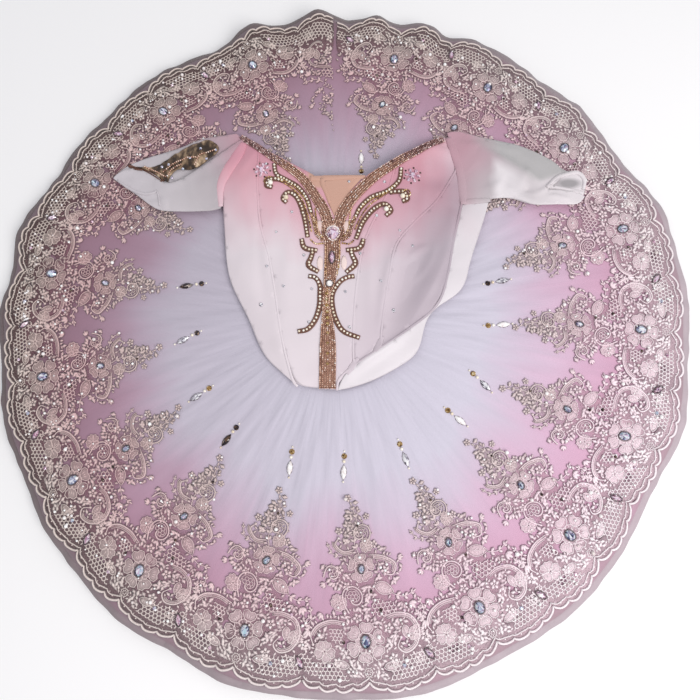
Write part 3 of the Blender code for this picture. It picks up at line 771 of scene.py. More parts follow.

# %% [markdown]
# ## The bodice
# A stiff lined bodice in matt satin, airbrushed from white at the waist to rose at the neckline.
# It has been dropped on the plate, so it keeps its round front but has sunk into a hollow on its
# right side, with a few soft creases around. The dye is a ramp over the height on the body with
# an uneven edge, and the creases are laid as ridges and grooves, each with its own steep side.
# Over the hollow on the right side shade is painted into the satin's colour, deeper lower down.
# Along the right side a strip of the back is turned to the front; it is whiter, without the
# painted shade.
# Beside the insert a bit of skin-coloured facing shows, a round spot in the satin's colour.

# %% Satin
ROSE_LOW = 0.075  # how far up the bodice the rose starts, in metres from the hips
ROSE_HIGH = 0.245
ARMPIT = 0.32  # beyond this sum of x and y the rose grows weaker
NECK_HEIGHT = 0.19  # above it the painted shade on the right side reaches less far in
FACING_PLACE = (-0.022, 0.205)  # where the skin-coloured facing shows beside the insert
FACING_REACH = 0.020
SKIN = screen(206, 162, 144)


def satin_finish(name, stops, shaded=True):
    finish = Finish(name, roughness=0.5, Sheen_Weight=0.35, Sheen_Roughness=0.4)
    x, y, _ = finish.axes()
    cloud = finish.noise(9, 2)
    streak = finish.noise(1, 2, finish.stretched(34, 7, 1))
    height = finish.times(streak, 0.06, finish.times(cloud, 0.10, y))
    height = finish.times(finish.math("ABSOLUTE", finish.plus(x, -0.02)), -0.28, height)
    height = finish.times(finish.past(finish.plus(x, y), ARMPIT), -0.9, height)
    factor = finish.times(height, 1 / (ROSE_HIGH - ROSE_LOW),
                          -(ROSE_LOW + 0.055) / (ROSE_HIGH - ROSE_LOW))
    dye_with_painted_light = finish.ramp(factor, stops)
    if shaded:
        # shade painted over the hollow on the bodice's right side: darker further right and lower
        # down
        side = finish.times(y, -0.30, finish.times(cloud, 0.06, x))
        side = finish.times(finish.past(y, NECK_HEIGHT), -1.2, side)
        dye_with_painted_light = finish.through(dye_with_painted_light, finish.mask(
            finish.times(side, 5, 0.15), (0.22, 1), (0.60, (0.82, 0.79, 0.82, 1)),
            (0.88, (0.60, 0.57, 0.61, 1))))
    facing = finish.vector("SUBTRACT", finish.stretched(1, 1, 0), (*FACING_PLACE, 0))
    facing = finish.mask(finish.length(facing), (FACING_REACH * 0.92, 1), (FACING_REACH, 0))
    finish.colour(finish.mix(facing, dye_with_painted_light, SKIN), cloud, 0.03)
    grain = finish.times(finish.twill(5200), 0.15, finish.noise(420, 3))
    finish.bump(grain, 0.0002, 0.35)
    return finish


satin = satin_finish("satin_dyed", (
    (0, 226, 215, 221), (0.22, 225, 203, 211), (0.46, 222, 180, 191), (0.75, 217, 160, 173),
    (1, 210, 148, 164),
))
satin_turned = satin_finish("satin_turned", (
    (0, 218, 211, 216), (0.30, 217, 205, 211), (0.60, 214, 190, 199), (1, 206, 168, 180),
), shaded=False)
print("satin:", len(satin.tree.nodes), "nodes")

# %% Folds of the bodice
BODICE_FOLDS = (
    # height in mm, width on its left and on its right in mm, points along it in mm
    (4.2, 14, 8, ((92, 104), (78, 56), (69, 10), (64, -34))),
    (3.8, 7, 16, ((173, 160), (165, 96), (140, 42), (116, 0), (96, -30))),
    (-3.5, 20, 20, ((120, 110), (112, 60), (92, 12), (82, -20))),
    (2.2, 5, 8, ((106, 78), (120, 90), (136, 96))),
    (1.9, 8, 5, ((108, 42), (130, 62), (150, 106))),
    (3.2, 4, 9, ((10, -98), (56, -61), (98, -33))),
    (1.9, 3, 6, ((24, -84), (82, -47), (121, -12))),
    (-1.6, 5, 5, ((180, 152), (172, 104), (157, 52))),
    (1.8, 9, 14, ((-148, 205), (-129, 162), (-106, 111), (-98, 60))),
    (-1.4, 10, 8, ((-112, 172), (-109, 122), (-106, 68), (-98, 4))),
    (1.6, 12, 12, ((-66, 110), (-68, 56), (-66, 3))),
    (1.3, 12, 12, ((-86, -10), (-74, -50), (-58, -88))),
    (1.6, 9, 9, ((50, 150), (50, 81), (52, 2), (50, -50))),
    (2.2, 6, 12, ((140, 256), (168, 250), (202, 253))),
    (-1.9, 12, 12, ((128, 214), (150, 200), (172, 214))),
    (1.8, 10, 10, ((120, 150), (132, 178), (128, 216))),
    (1.4, 8, 12, ((-122, 262), (-134, 236), (-150, 214))),
)
print(len(BODICE_FOLDS), "folds on the bodice")

# %% Bodice panels
BODICE_LEVELS = 3
SATIN_WALL = 0.0012
PANELS = ("bodice_front_centre", "bodice_front_left", "bodice_front_right", "bodice_side_right",
          "bodice_side_back_right")
SEAM_DIP = 0.35  # mm that a panel sinks at its own edge
SEAM_REACH = 4  # mm


def rim_of(node):
    """The border of a panel's upper sheet, as pairs of ends."""
    bm = welded(node)
    edges = [edge for edge in bm.edges
             if sum(face.normal.z > 0.15 for face in edge.link_faces) == 1]
    ends = np.array([[vert.co[:2] for vert in edge.verts] for edge in edges])
    bm.free()
    return ends


def near_rim(points, ends):
    best = np.full(len(points), np.inf)
    for a, b in ends:
        best = np.minimum(best, np.linalg.norm(to_span(points[:, :2], a, b)[1], axis=1))
    return best


def bodice_panel(node, folds):
    cloth = satin_turned if "side_back" in node else satin
    panel = upper_sheet(node, node.replace("bodice_", "panel_"), cloth, BODICE_LEVELS)
    points = rumpled(folded(points_of(panel), folds), 0.035, 1.4 * MM, 3)
    dip = np.exp(-(near_rim(points, rim_of(node)) / (SEAM_REACH * MM)) ** 2)
    points[:, 2] -= SEAM_DIP * MM * dip
    move_to(panel, points)
    return panel


panels = [bodice_panel(node, BODICE_FOLDS) for node in PANELS]
print("bodice panels", [triangles(panel) for panel in panels], "triangles")

# %% The bodice's surface, for everything that is sewn on it
insert_finish = Finish("nude_net", roughness=0.75, Sheen_Weight=0.2)
insert_finish.colour(SKIN, insert_finish.noise(14), 0.06)
insert_finish.bump(insert_finish.cells(900), 0.0003, 0.5)
insert = upper_sheet("neck_insert", "insert_nude", insert_finish, BODICE_LEVELS)


def surface_of(pieces):
    """The height of these sheets over any point of the table, given in metres."""
    corners, faces = [], []
    for piece in pieces:
        start = len(corners)
        corners += [tuple(vert.co) for vert in piece.data.vertices]
        faces += [[start + k for k in face.vertices] for face in piece.data.polygons]
    tree = BVHTree.FromPolygons(corners, faces)

    def height(x, y):
        hit = tree.ray_cast(Vector((x, y, 1)), Vector((0, 0, -1)))[0]
        return (hit or tree.find_nearest(Vector((x, y, 0.05)))[0]).z

    return height


on_bodice = surface_of([*panels, insert])
print("centre front at the stone:", round(on_bodice(-0.002, 0.119), 4), "m up")

# %% Thickness, back and cut sizes
back = upper_sheet("bodice_back", "panel_back", satin, 2)
for piece, node in zip([*panels, insert, back], [*PANELS, "neck_insert", "bodice_back"]):
    shell(piece, SATIN_WALL)
    dressed(piece, "insert_nude" if node == "neck_insert" else "satin_ombre", node)


def sheet_area(piece):
    """Half of a closed thin shell's surface, in square metres."""
    return sum(face.area for face in piece.data.polygons) / 2


def declare_panel(piece):
    """A cut panel: the smallest rectangle that it can be cut from, and its own area."""
    points = points_of(piece)[:, :2]
    boxes = []
    for turn in np.radians(np.arange(0, 90, 3)):
        turned = points @ np.array(((np.cos(turn), -np.sin(turn)), (np.sin(turn), np.cos(turn))))
        boxes.append(tuple(np.ptp(turned, axis=0) * 1.01))
    width, length = min(boxes, key=lambda box: box[0] * box[1])
    area = float(np.clip(sheet_area(piece), 0.31 * width * length, width * length))
    return round(width, 3), round(length, 3), round(area, 4)


for piece in [*panels, insert]:
    print(piece.name, "cut", declare_panel(piece))
print(back.name, "cut", declare_panel(back))

# %% [markdown]
# ## The sleeves
# Each sleeve is a tube of chiffon pressed flat, so it shows as two layers: the lower one reaches
# past the upper one at the open end. Their folds run from the shoulder to the wrist. The cloth is
# sheer, so the finish lets a little of what lies under it through. On the right sleeve it lies
# doubled, and whiter, up to a slanting fold: partly the doubled cloth, and partly a painted
# highlight on the fold's convex side. Beyond it one greyer layer is left. Modelling each ply
# would double the mesh for a change of tone, so both are masks along that line. Shade is painted
# into the colour too, towards the left where the lamp's light falls off, and in the right
# sleeve's mouth.


# %% Chiffon
SINGLE_LAYER = (0.70, 0.408)  # slope and place of the line where only one layer is left
ROLLED_BELOW = (-0.37, 0.088)  # and of the line where the mouth's rolled edge begins
MOUTH_PLACE = (0.346, 0.197)  # where shade is painted in the mouth of the right sleeve
MOUTH_HALF = (0.023, 0.010)


def chiffon_finish():
    finish = Finish("chiffon", roughness=0.6, Sheen_Weight=0.3, Alpha=0.88)
    x, y, _ = finish.axes()
    cloud = finish.noise(16, 2)
    shoulder = finish.math("ABSOLUTE", finish.plus(x, -0.03))
    near = finish.times(y, -0.6, finish.times(cloud, 0.05, shoulder))
    dye_with_painted_light = finish.ramp(finish.plus(near, 0.15), (
        (0, 204, 154, 168), (0.185, 200, 158, 171), (0.225, 196, 168, 178),
        (0.262, 196, 186, 191), (0.31, 212, 204, 208), (0.38, 236, 228, 232)))
    # darker towards the left: painted shade where the lamp's light falls off
    left = finish.mask(finish.times(x, -2), (0.30, 1), (0.60, (0.76, 0.76, 0.78, 1)))
    dye_with_painted_light = finish.through(dye_with_painted_light, left)
    across = finish.times(x, 2)
    fold, roll = [finish.plus(finish.times(x, slope, y), 0.5 - place)
                  for slope, place in (SINGLE_LAYER, ROLLED_BELOW)]
    # whiter below the slanting fold: the doubled cloth, and a painted highlight on the fold
    doubled_and_lit = finish.through(finish.mask(finish.times(cloud, 0.05, across), (0.482, 0),
                                         (0.505, 0.75), (0.55, 0.62), (0.60, 0)),
                             finish.mask(fold, (0.482, 1), (0.497, 0)))
    dye_with_painted_light = finish.mix(doubled_and_lit, dye_with_painted_light, screen(244, 238, 242))
    single = finish.through(finish.mask(fold, (0.492, 0), (0.508, 1)),
                            finish.mask(roll, (0.496, 0), (0.502, 1)))
    single = finish.through(single, finish.mask(across, (0.40, 0), (0.50, 1)))
    dye_with_painted_light = finish.mix(single, dye_with_painted_light, screen(190, 187, 188))
    # a dark patch in the right sleeve's mouth: painted shade
    mouth = finish.vector("SUBTRACT", finish.coordinates, (*MOUTH_PLACE, 0))
    mouth = finish.vector("MULTIPLY", mouth, (1 / MOUTH_HALF[0], 1 / MOUTH_HALF[1], 0))
    mouth = finish.mask(finish.length(mouth), (0.45, 1), (1.05, 0))
    finish.colour(finish.mix(mouth, dye_with_painted_light, screen(168, 163, 166)), cloud, 0.05)
    finish.bump(finish.noise(700, 2), 0.0002, 0.3)
    return finish


chiffon = chiffon_finish()
print("chiffon:", len(chiffon.tree.nodes), "nodes")

# %% Sleeves
SLEEVE_WALL = 0.0006
SLEEVE_FOLDS = {
    "sleeve_right_over": (
        (5.1, 7, 15, ((213, 256), (238, 241), (260, 225), (273, 212), (276, 193), (279, 181))),
        (-3.3, 14, 14, ((205, 226), (221, 208), (228, 190))),
        (2.7, 6, 10, ((236, 222), (244, 206), (243, 196), (230, 180))),
        (2.4, 3, 6, ((286, 220), (283, 209), (279, 199))),
        (2.1, 3, 5, ((286, 220), (293, 206), (299, 199))),
        (-3.9, 5, 5, ((277, 190), (282, 186), (287, 184))),
        (3, 4, 5, ((286, 177), (307, 185), (328, 200), (340, 207))),
        (2.1, 3, 5, ((309, 177), (326, 176), (345, 170))),
        (2.2, 4, 9, ((244, 193), (261, 184), (277, 172), (297, 168))),
        (1.8, 5, 9, ((192, 262), (216, 262), (246, 256), (280, 247))),
        (-1.8, 8, 8, ((240, 256), (268, 240), (292, 222), (312, 204))),
    ),
    "sleeve_left_over": (
        (3.3, 4, 9, ((-338, 224), (-311, 233), (-287, 223), (-259, 205), (-238, 209),
                     (-216, 222), (-180, 248), (-142, 272))),
        (1.8, 6, 9, ((-336, 219), (-312, 211), (-292, 196), (-276, 186))),
        (-2.1, 4, 5, ((-298, 190), (-278, 183), (-262, 185))),
        (2.1, 4, 6, ((-264, 187), (-257, 176), (-254, 164))),
        (1.5, 9, 9, ((-218, 222), (-219, 205), (-216, 180))),
        (-1.8, 9, 9, ((-186, 232), (-187, 205), (-188, 175))),
        (2.1, 5, 9, ((-182, 228), (-160, 232), (-146, 246), (-140, 262))),
    ),
    "sleeve_right_under": (),
    "sleeve_left_under": (),
}

sleeves = {}
for node, folds in SLEEVE_FOLDS.items():
    sleeve = upper_sheet(node, node.replace("sleeve", "chiffon"), chiffon, 3)
    move_to(sleeve, rumpled(folded(points_of(sleeve), folds), 0.022, 0.8 * MM, 5))
    shell(sleeve, SLEEVE_WALL)
    dressed(sleeve, "chiffon", node)
    sleeves[node] = sleeve
    print(sleeve.name, "cut", declare_panel(sleeve))

# %% [markdown]
# ## Knickers
# The knickers are folded flat into the hips and hardly show, so their solid stays and takes a
# plain knit.

# %% Knit
knit = Finish("knit", roughness=0.9, Sheen_Weight=0.2)
knit.colour(screen(232, 222, 226), knit.noise(30), 0.05)
knit.bump(knit.cells(500), 0.0005, 0.6)
knickers = nodes["knickers"]
for slot in knickers.material_slots:
    slot.material = knit.material
print("knickers keep their own solid:", len(knickers.data.polygons), "faces")

# %% [markdown]
# ## The lace: ground
# The border is a corded lace: fine net as its ground, and raised thread work on it. The strip is
# scalloped outside and reaches inwards in a spray at each repeat. Its ground could be a flat
# picture with holes in it; we take the upper faces of the frame's own lace instead, because they
# have the true outline and the cut gaps, and make them a thin see-through net that fades out
# towards the inner edge, where the real net is cut away close to the thread. Away from the lamp
# its colour has shade painted in. In the band along the rim it is darker and denser, partly the
# dusky net there and partly painted shadow in the gaps between the close threads, and at the
# spray's tip it turns beige.

# %% Lace ground
GROUND_WALL = 0.0004
GROUND_LIFT = 0.0013
GROUND_FADE = 0.011
INNER_EDGE = 0.432  # every edge of the lace inside this radius is a cut-away one
MESH_SIZE = 420  # holes of the ground net to the metre
SPRAY_TIP = (0.60, 0.72, 0.6, 0)  # radii between which the tips' beige fades, its share at both


def ground_finish():
    finish = Finish("lace_ground", roughness=0.8, Sheen_Weight=0.2)
    cloud = finish.noise(26, 3)
    band = outwards(finish, 0.82, 0.93)
    lamp_share = lamp_facing(finish)
    spray = finish.mix(lamp_share, screen(150, 104, 117), screen(214, 178, 193))
    # the band is darker, most of all away from the lamp: the dusky net there, and painted shadow
    # in the gaps between the close threads
    rim = finish.mix(lamp_share, screen(90, 68, 68), screen(190, 164, 174))
    tip = outwards(finish, *SPRAY_TIP)
    hue = finish.mix(tip, finish.mix(band, spray, rim), screen(192, 182, 180))
    finish.colour(hue, cloud, 0.26)
    thread = finish.math("LESS_THAN", finish.cells(MESH_SIZE), 0.16)
    cover = finish.times(finish.times(thread, 0.30, 0.20), finish.times(cloud, 0.9, 0.55))
    # in the band the dark ground is denser too, for the painted shadow between the threads
    cover = finish.times(band, 0.45, cover)
    finish.feed(finish.shader.inputs["Alpha"], finish.times(cover, finish.carried("fade")))
    return finish


ground = upper_sheet("lace_border", "lace_ground", ground_finish(), 1)
points = points_of(ground)
points[:, 2] = on_plate(points[:, 0], points[:, 1], GROUND_LIFT)
move_to(ground, points)
inner_rim = rim_of("lace_border")
inner_rim = inner_rim[np.hypot(*inner_rim.mean(axis=1).T) < INNER_EDGE]
away = near_rim(points, inner_rim)
marked(ground, "fade", smoothstep(0, GROUND_FADE, away))
shell(ground, GROUND_WALL)
dressed(ground, "lace_blush", "lace_border")
print("lace ground fades along", len(inner_rim), "edges")

# %% [markdown]
# ## The lace: how a thread is made
# Everything raised on the lace is one kind of form: a strip that follows a path, flat below and
# rounded above, that may swell and taper. A cord keeps its width, a petal or a leaf swells in the
# middle. We draw them all on a flat sheet in millimetres, x round the rim and y out from the
# hips, and bend the finished drawing onto the plate. It is drawn once and laid in every repeat.

# %% Threads on a flat sheet
SECTION = ((-1, 0), (0, 1), (1, 0))  # of a thread, as shares of its size


def way_of(turn):
    """Unit steps in a direction, or in several, given in degrees."""
    return np.stack([np.cos(np.radians(turn)), np.sin(np.radians(turn))], axis=-1)


class Drawing:
    """Raised thread work on a flat sheet: x, y and height in mm."""

    def __init__(self):
        self.points, self.faces, self.parts, self.count = [], [], [], 0

    def add(self, points, faces):
        self.points.append(np.asarray(points, float))
        self.faces += [[corner + self.count for corner in face] for face in faces]
        self.parts.append((self.count, self.count + len(points)))
        self.count += len(points)

    def strip(self, path, width, height, closed=False):
        """A strip along a path; width and height are numbers or one value for each point."""
        path = np.asarray(path, float)
        if closed:
            ahead = np.roll(path, -1, axis=0) - np.roll(path, 1, axis=0)
        else:
            ahead = np.gradient(path, axis=0)
        across = np.column_stack([-ahead[:, 1], ahead[:, 0]])
        across /= np.maximum(np.linalg.norm(across, axis=1), 1e-9)[:, None]
        width = np.broadcast_to(width, len(path))[:, None] / 2
        height = np.broadcast_to(height, len(path))
        rows = [np.column_stack([path + across * width * side, height * top])
                for side, top in SECTION]
        wide, count = len(SECTION), len(path)
        points = np.stack(rows, axis=1).reshape(-1, 3)
        faces = []
        for k in range(count if closed else count - 1):
            a, b = k * wide, (k + 1) % count * wide
            faces += [(a + m, b + m, b + m + 1, a + m + 1) for m in range(wide - 1)]
            faces.append((a + wide - 1, b + wide - 1, b, a))
        if not closed:
            faces.append(tuple(range(wide)))
            faces.append(tuple(range(len(points) - 1, len(points) - 1 - wide, -1)))
        self.add(points, faces)

    def petal(self, start, turn, length, width, height=1, sections=6, bend=0):
        """A swelling strip from start in the direction of turn, in degrees."""
        share = np.linspace(0.02, 0.98, sections)
        step = length / (sections - 1)
        path = np.cumsum(way_of(turn + bend * (share - 0.5)) * step, axis=0)
        path = path - path[0] + np.asarray(start, float)
        swell = np.sin(np.pi * share ** 0.8) ** 0.75
        self.strip(path, width * swell, height * (0.35 + 0.65 * swell))

    def patch(self, outline, height=0.27, crown=0.8):
        """A low filled shape inside an outline, like close darning."""
        outline = np.asarray(outline, float)
        count, middle = len(outline), outline.mean(axis=0)
        top = middle + (outline - middle) * crown
        points = np.vstack([np.column_stack([outline, np.zeros(count)]),
                            np.column_stack([top, np.full(count, height)])])
        faces = [(k, (k + 1) % count, (k + 1) % count + count, k + count) for k in range(count)]
        faces.append(tuple(range(count, 2 * count)))
        faces.append(tuple(range(count - 1, -1, -1)))
        self.add(points, faces)

    def knot(self, place, radius=1.1, height=1, sides=6):
        """A small domed knot."""
        spin = np.arange(sides) * 2 * np.pi / sides
        ring = np.column_stack([np.cos(spin), np.sin(spin)]) * radius + place
        self.patch(ring, height * 0.8, 0.6)


test = Drawing()
test.petal((0, 0), 90, 8, 3)
print("one petal:", len(test.faces), "faces")

# %% [markdown]
# ## The lace: motifs
# The motifs are the common ones of such lace: round flowers whose broad petals are darned inside
# a corded edge, leaves on a stem, a comma-shaped leaf with a net filling, scrolls with little
# loops, rosettes and honeycomb. Each is a small function that draws with strips, petals, patches
# and knots, so that one motif can be set again at another size and turn.


# %% Flowers
def heading_of(step):
    """The direction of a step over the sheet, in degrees."""
    return math.degrees(math.atan2(step[1], step[0]))


PETAL_EDGE = (
    # along and across a petal with a notch in its tip
    (0, -0.20), (0.40, -0.46), (0.76, -0.50), (1, -0.26), (0.88, 0), (1, 0.26),
    (0.76, 0.50), (0.40, 0.46), (0, 0.20),
)


def petal_ring(drawing, place, petals, inner, outer, turn=0, veins=3):
    """Broad petals side by side, each darned inside a corded edge."""
    reach, wide = outer - inner, 2 * math.pi * outer * 0.84 / petals * 0.84
    for k in range(petals):
        spin = turn + 360 * k / petals + random.normal(0, 3)
        ahead, across = way_of(spin), way_of(spin + 90)
        size = random.uniform(0.9, 1.08)
        edge = [place + ahead * (inner + reach * size * u) + across * wide * v
                for u, v in PETAL_EDGE]
        drawing.patch(edge)
        drawing.strip(edge, 1.8, 1.4, closed=True)
        for step in np.arange(veins) - (veins - 1) / 2:
            foot = place + ahead * (inner + reach * 0.2) + across * wide * 0.10 * step
            drawing.petal(foot, spin + 17 * step, reach * 0.55, 2, 1.2, 3)


def flower(drawing, place, petals, radius, turn=0, rings=2):
    """One or two rings of petals round a centre, with knots where the stone will sit."""
    if rings == 2:
        petal_ring(drawing, place, petals, radius * 0.46, radius, turn + 180 / petals)
    petal_ring(drawing, place, petals, radius * (0.22 if rings == 2 else 0.12),
               radius * (0.54 if rings == 2 else 1), turn, 1)
    for k in range(petals):
        spin = turn + 360 * (k + 0.5) / petals
        drawing.knot(place + way_of(spin) * radius * 0.24, radius * 0.05 + 0.4, 1.3, 5)


def small_flower(drawing, place, radius=4.6, turn=0, petals=5):
    for k in range(petals):
        spin = turn + 360 * k / petals
        drawing.petal(place + way_of(spin) * radius * 0.25, spin, radius * 0.95, radius * 1.1,
                      1.6, 4)
    drawing.knot(place, 1.2, 1.8, 5)


def bud(drawing, place, turn, size=9):
    """Three overlapping petals in a cup."""
    for lean, reach in ((-32, 0.85), (32, 0.85), (0, 1)):
        drawing.petal(place, turn + lean, size * reach, size * 0.62, 1.4 + 0.3 * (lean == 0), 5,
                      bend=-lean * 0.6)


print("a petal's edge has", len(PETAL_EDGE), "points")


# %% Leaves
def broad_leaf(drawing, place, length, width, turn):
    """A leaf with a corded edge, a vein and a row of petals on both sides of it."""
    ahead, across = way_of(turn), way_of(turn + 90)
    share = np.linspace(0, 1, 9)
    half = width / 2 * np.sin(np.pi * share ** 0.85) ** 0.8
    middle = place + ahead * length * share[:, None]
    edge = [*(middle + across * half[:, None]), *(middle - across * half[:, None])[-2:0:-1]]
    drawing.patch(edge)
    drawing.strip(np.array(edge), 1.6, 1.4, closed=True)
    for t in (0.18, 0.36, 0.54, 0.72):
        for flip in (1, -1):
            drawing.petal(place + ahead * length * t, turn + flip * 48, width * 0.36,
                          width * 0.17, 1.2, 4)
    drawing.petal(place + ahead * length * 0.05, turn, length * 0.85, 1.8, 1.3, 4)


def stem(drawing, rows, leaf=6, pairs=4, width=1.5, lean=42):
    """A stem with leaves on both sides, and one at its tip."""
    path = smooth_path(rows, 4)
    drawing.strip(path, width, 1)
    for share in np.linspace(0.18, 0.92, pairs):
        at = share * (len(path) - 1)
        k = int(at)
        place = path[k] + (path[min(k + 1, len(path) - 1)] - path[k]) * (at - k)
        heading = heading_of(path[min(k + 1, len(path) - 1)] - path[max(k - 1, 0)])
        size = leaf * (1 - 0.35 * share)
        for side in (1, -1):
            drawing.petal(place, heading + side * lean, size, size * 0.78, 1.4, 4,
                          bend=-side * 25)
    drawing.petal(path[-1], heading_of(path[-1] - path[-3]), leaf * 0.8, leaf * 0.42, 1.3, 4)


broad_leaf(test, (0, 0), 20, 10, 0)
print("with a broad leaf:", len(test.parts), "pieces of thread")


# %% Nets and comma leaves
def inside(point, border):
    found = False
    for (x0, y0), (x1, y1) in zip(border, np.roll(border, -1, axis=0)):
        if (y0 > point[1]) != (y1 > point[1]):
            found ^= point[0] < (x1 - x0) * (point[1] - y0) / (y1 - y0) + x0
    return found


def honeycomb(drawing, border, pitch=5.4, width=2.1, height=1.1):
    """A net of six-sided cells inside a border."""
    border = np.asarray(border, float)
    low, high = border.min(axis=0), border.max(axis=0)
    side = pitch / math.sqrt(3)
    for row in range(int((high[1] - low[1]) / (side * 1.5)) + 2):
        for column in range(int((high[0] - low[0]) / pitch) + 2):
            centre = low + ((column + row % 2 / 2) * pitch, row * side * 1.5)
            corners = [centre + side * np.array((math.sin(k * math.pi / 3),
                                                 math.cos(k * math.pi / 3))) for k in range(4)]
            for a, b in zip(corners, corners[1:]):
                if inside((a + b) / 2, border):
                    drawing.strip(np.array((a, b)), width, height)


def comma_leaf(drawing, place, size, turn=0, flip=1):
    """A comma-shaped leaf: a corded outline that curls in, an inner cord and a net filling."""
    outline = np.array(((-0.2, -1.5), (0.45, -1), (0.95, -0.35), (0.95, 0.40), (0.45, 0.92),
                        (-0.20, 0.98), (-0.78, 0.62), (-0.92, 0.02), (-0.62, -0.45),
                        (-0.12, -0.48), (0.12, -0.18)))
    outline[:, 0] *= flip
    lean = math.radians(turn)
    spin = np.array(((math.cos(lean), -math.sin(lean)), (math.sin(lean), math.cos(lean))))
    path = outline @ spin.T * size + place
    drawing.strip(smooth_path(path, 3), 2.6, 1.7)
    inner = (outline[1:9] * 0.72 + (0.02, 0.06)) @ spin.T * size + place
    drawing.strip(smooth_path(inner, 2), 1.3, 1)
    honeycomb(drawing, (outline[2:9] * 0.68) @ spin.T * size + place, 4.6, 1.6, 0.9)
    for point in path[1:8]:
        drawing.knot(point + (point - place) / size * 2.2, 1.1, 1.1, 5)


comma_leaf(test, (0, 0), 10)
print("with a comma leaf:", len(test.parts))


# %% Scrolls, rosettes and filling
def scroll(drawing, rows, loops=7, side=1):
    """A thick corded scroll with a thin cord inside it and a row of loops outside."""
    path = smooth_path(rows, 4)
    share = np.linspace(0, 1, len(path))
    drawing.strip(path, 1.7 + 1.3 * np.sin(np.pi * share), 1.6)
    ahead = np.gradient(path, axis=0)
    across = np.column_stack([-ahead[:, 1], ahead[:, 0]])
    across /= np.linalg.norm(across, axis=1)[:, None]
    keep = slice(1, int(len(path) * 0.82))
    drawing.strip((path - side * across * 4.2)[keep], 1.2, 1.1)
    drawing.strip((path - side * across * 2.2)[keep], 3.8, 0.42)
    for k in np.linspace(2, len(path) * 0.85, loops).astype(int):
        drawing.petal(path[k] + side * across[k] * 1.6, heading_of(side * across[k]), 5.2, 3.6,
                      1.2, 4)
    drawing.knot(path[-1], 2.2, 2, 6)


def rosette(drawing, place, radius, spokes=7):
    spin = np.arange(12) * math.pi / 6
    ring = place + radius * np.column_stack([np.cos(spin), np.sin(spin)])
    drawing.strip(ring, 1.6, 1.2, closed=True)
    for k in range(spokes):
        drawing.petal(place + 0.2 * radius * way_of(360 * k / spokes), 360 * k / spokes,
                      radius * 0.62, radius * 0.40, 1.1, 4)
    for k in range(0, 12, 2):
        drawing.knot(place + (ring[k] - place) * 1.26, 1, 1, 4)


def filled(drawing, border, pitch, gap):
    """Seed stitches wherever a point inside the border is still free."""
    border = np.asarray(border, float)
    drawn_points = np.vstack(drawing.points)[:, :2]
    low, high = border.min(axis=0), border.max(axis=0)
    count = 0
    for y in np.arange(low[1], high[1], pitch * 0.87):
        for x in np.arange(low[0], high[0], pitch) + pitch / 2 * (count % 2):
            spot = np.array((x, y)) + random.normal(0, pitch * 0.14, 2)
            free = np.hypot(*(drawn_points - spot).T).min() if inside(spot, border) else 0
            if free > gap:
                turn = random.uniform(0, 180)
                size = min(free * 1.9, 7.5) * random.uniform(0.9, 1.2)
                drawing.petal(spot - way_of(turn) * size / 2, turn, size, size * 0.85,
                              random.uniform(0.5, 1.5), 3)
        count += 1


rosette(test, (0, 0), 5)
print("and with a rosette:", len(test.parts))

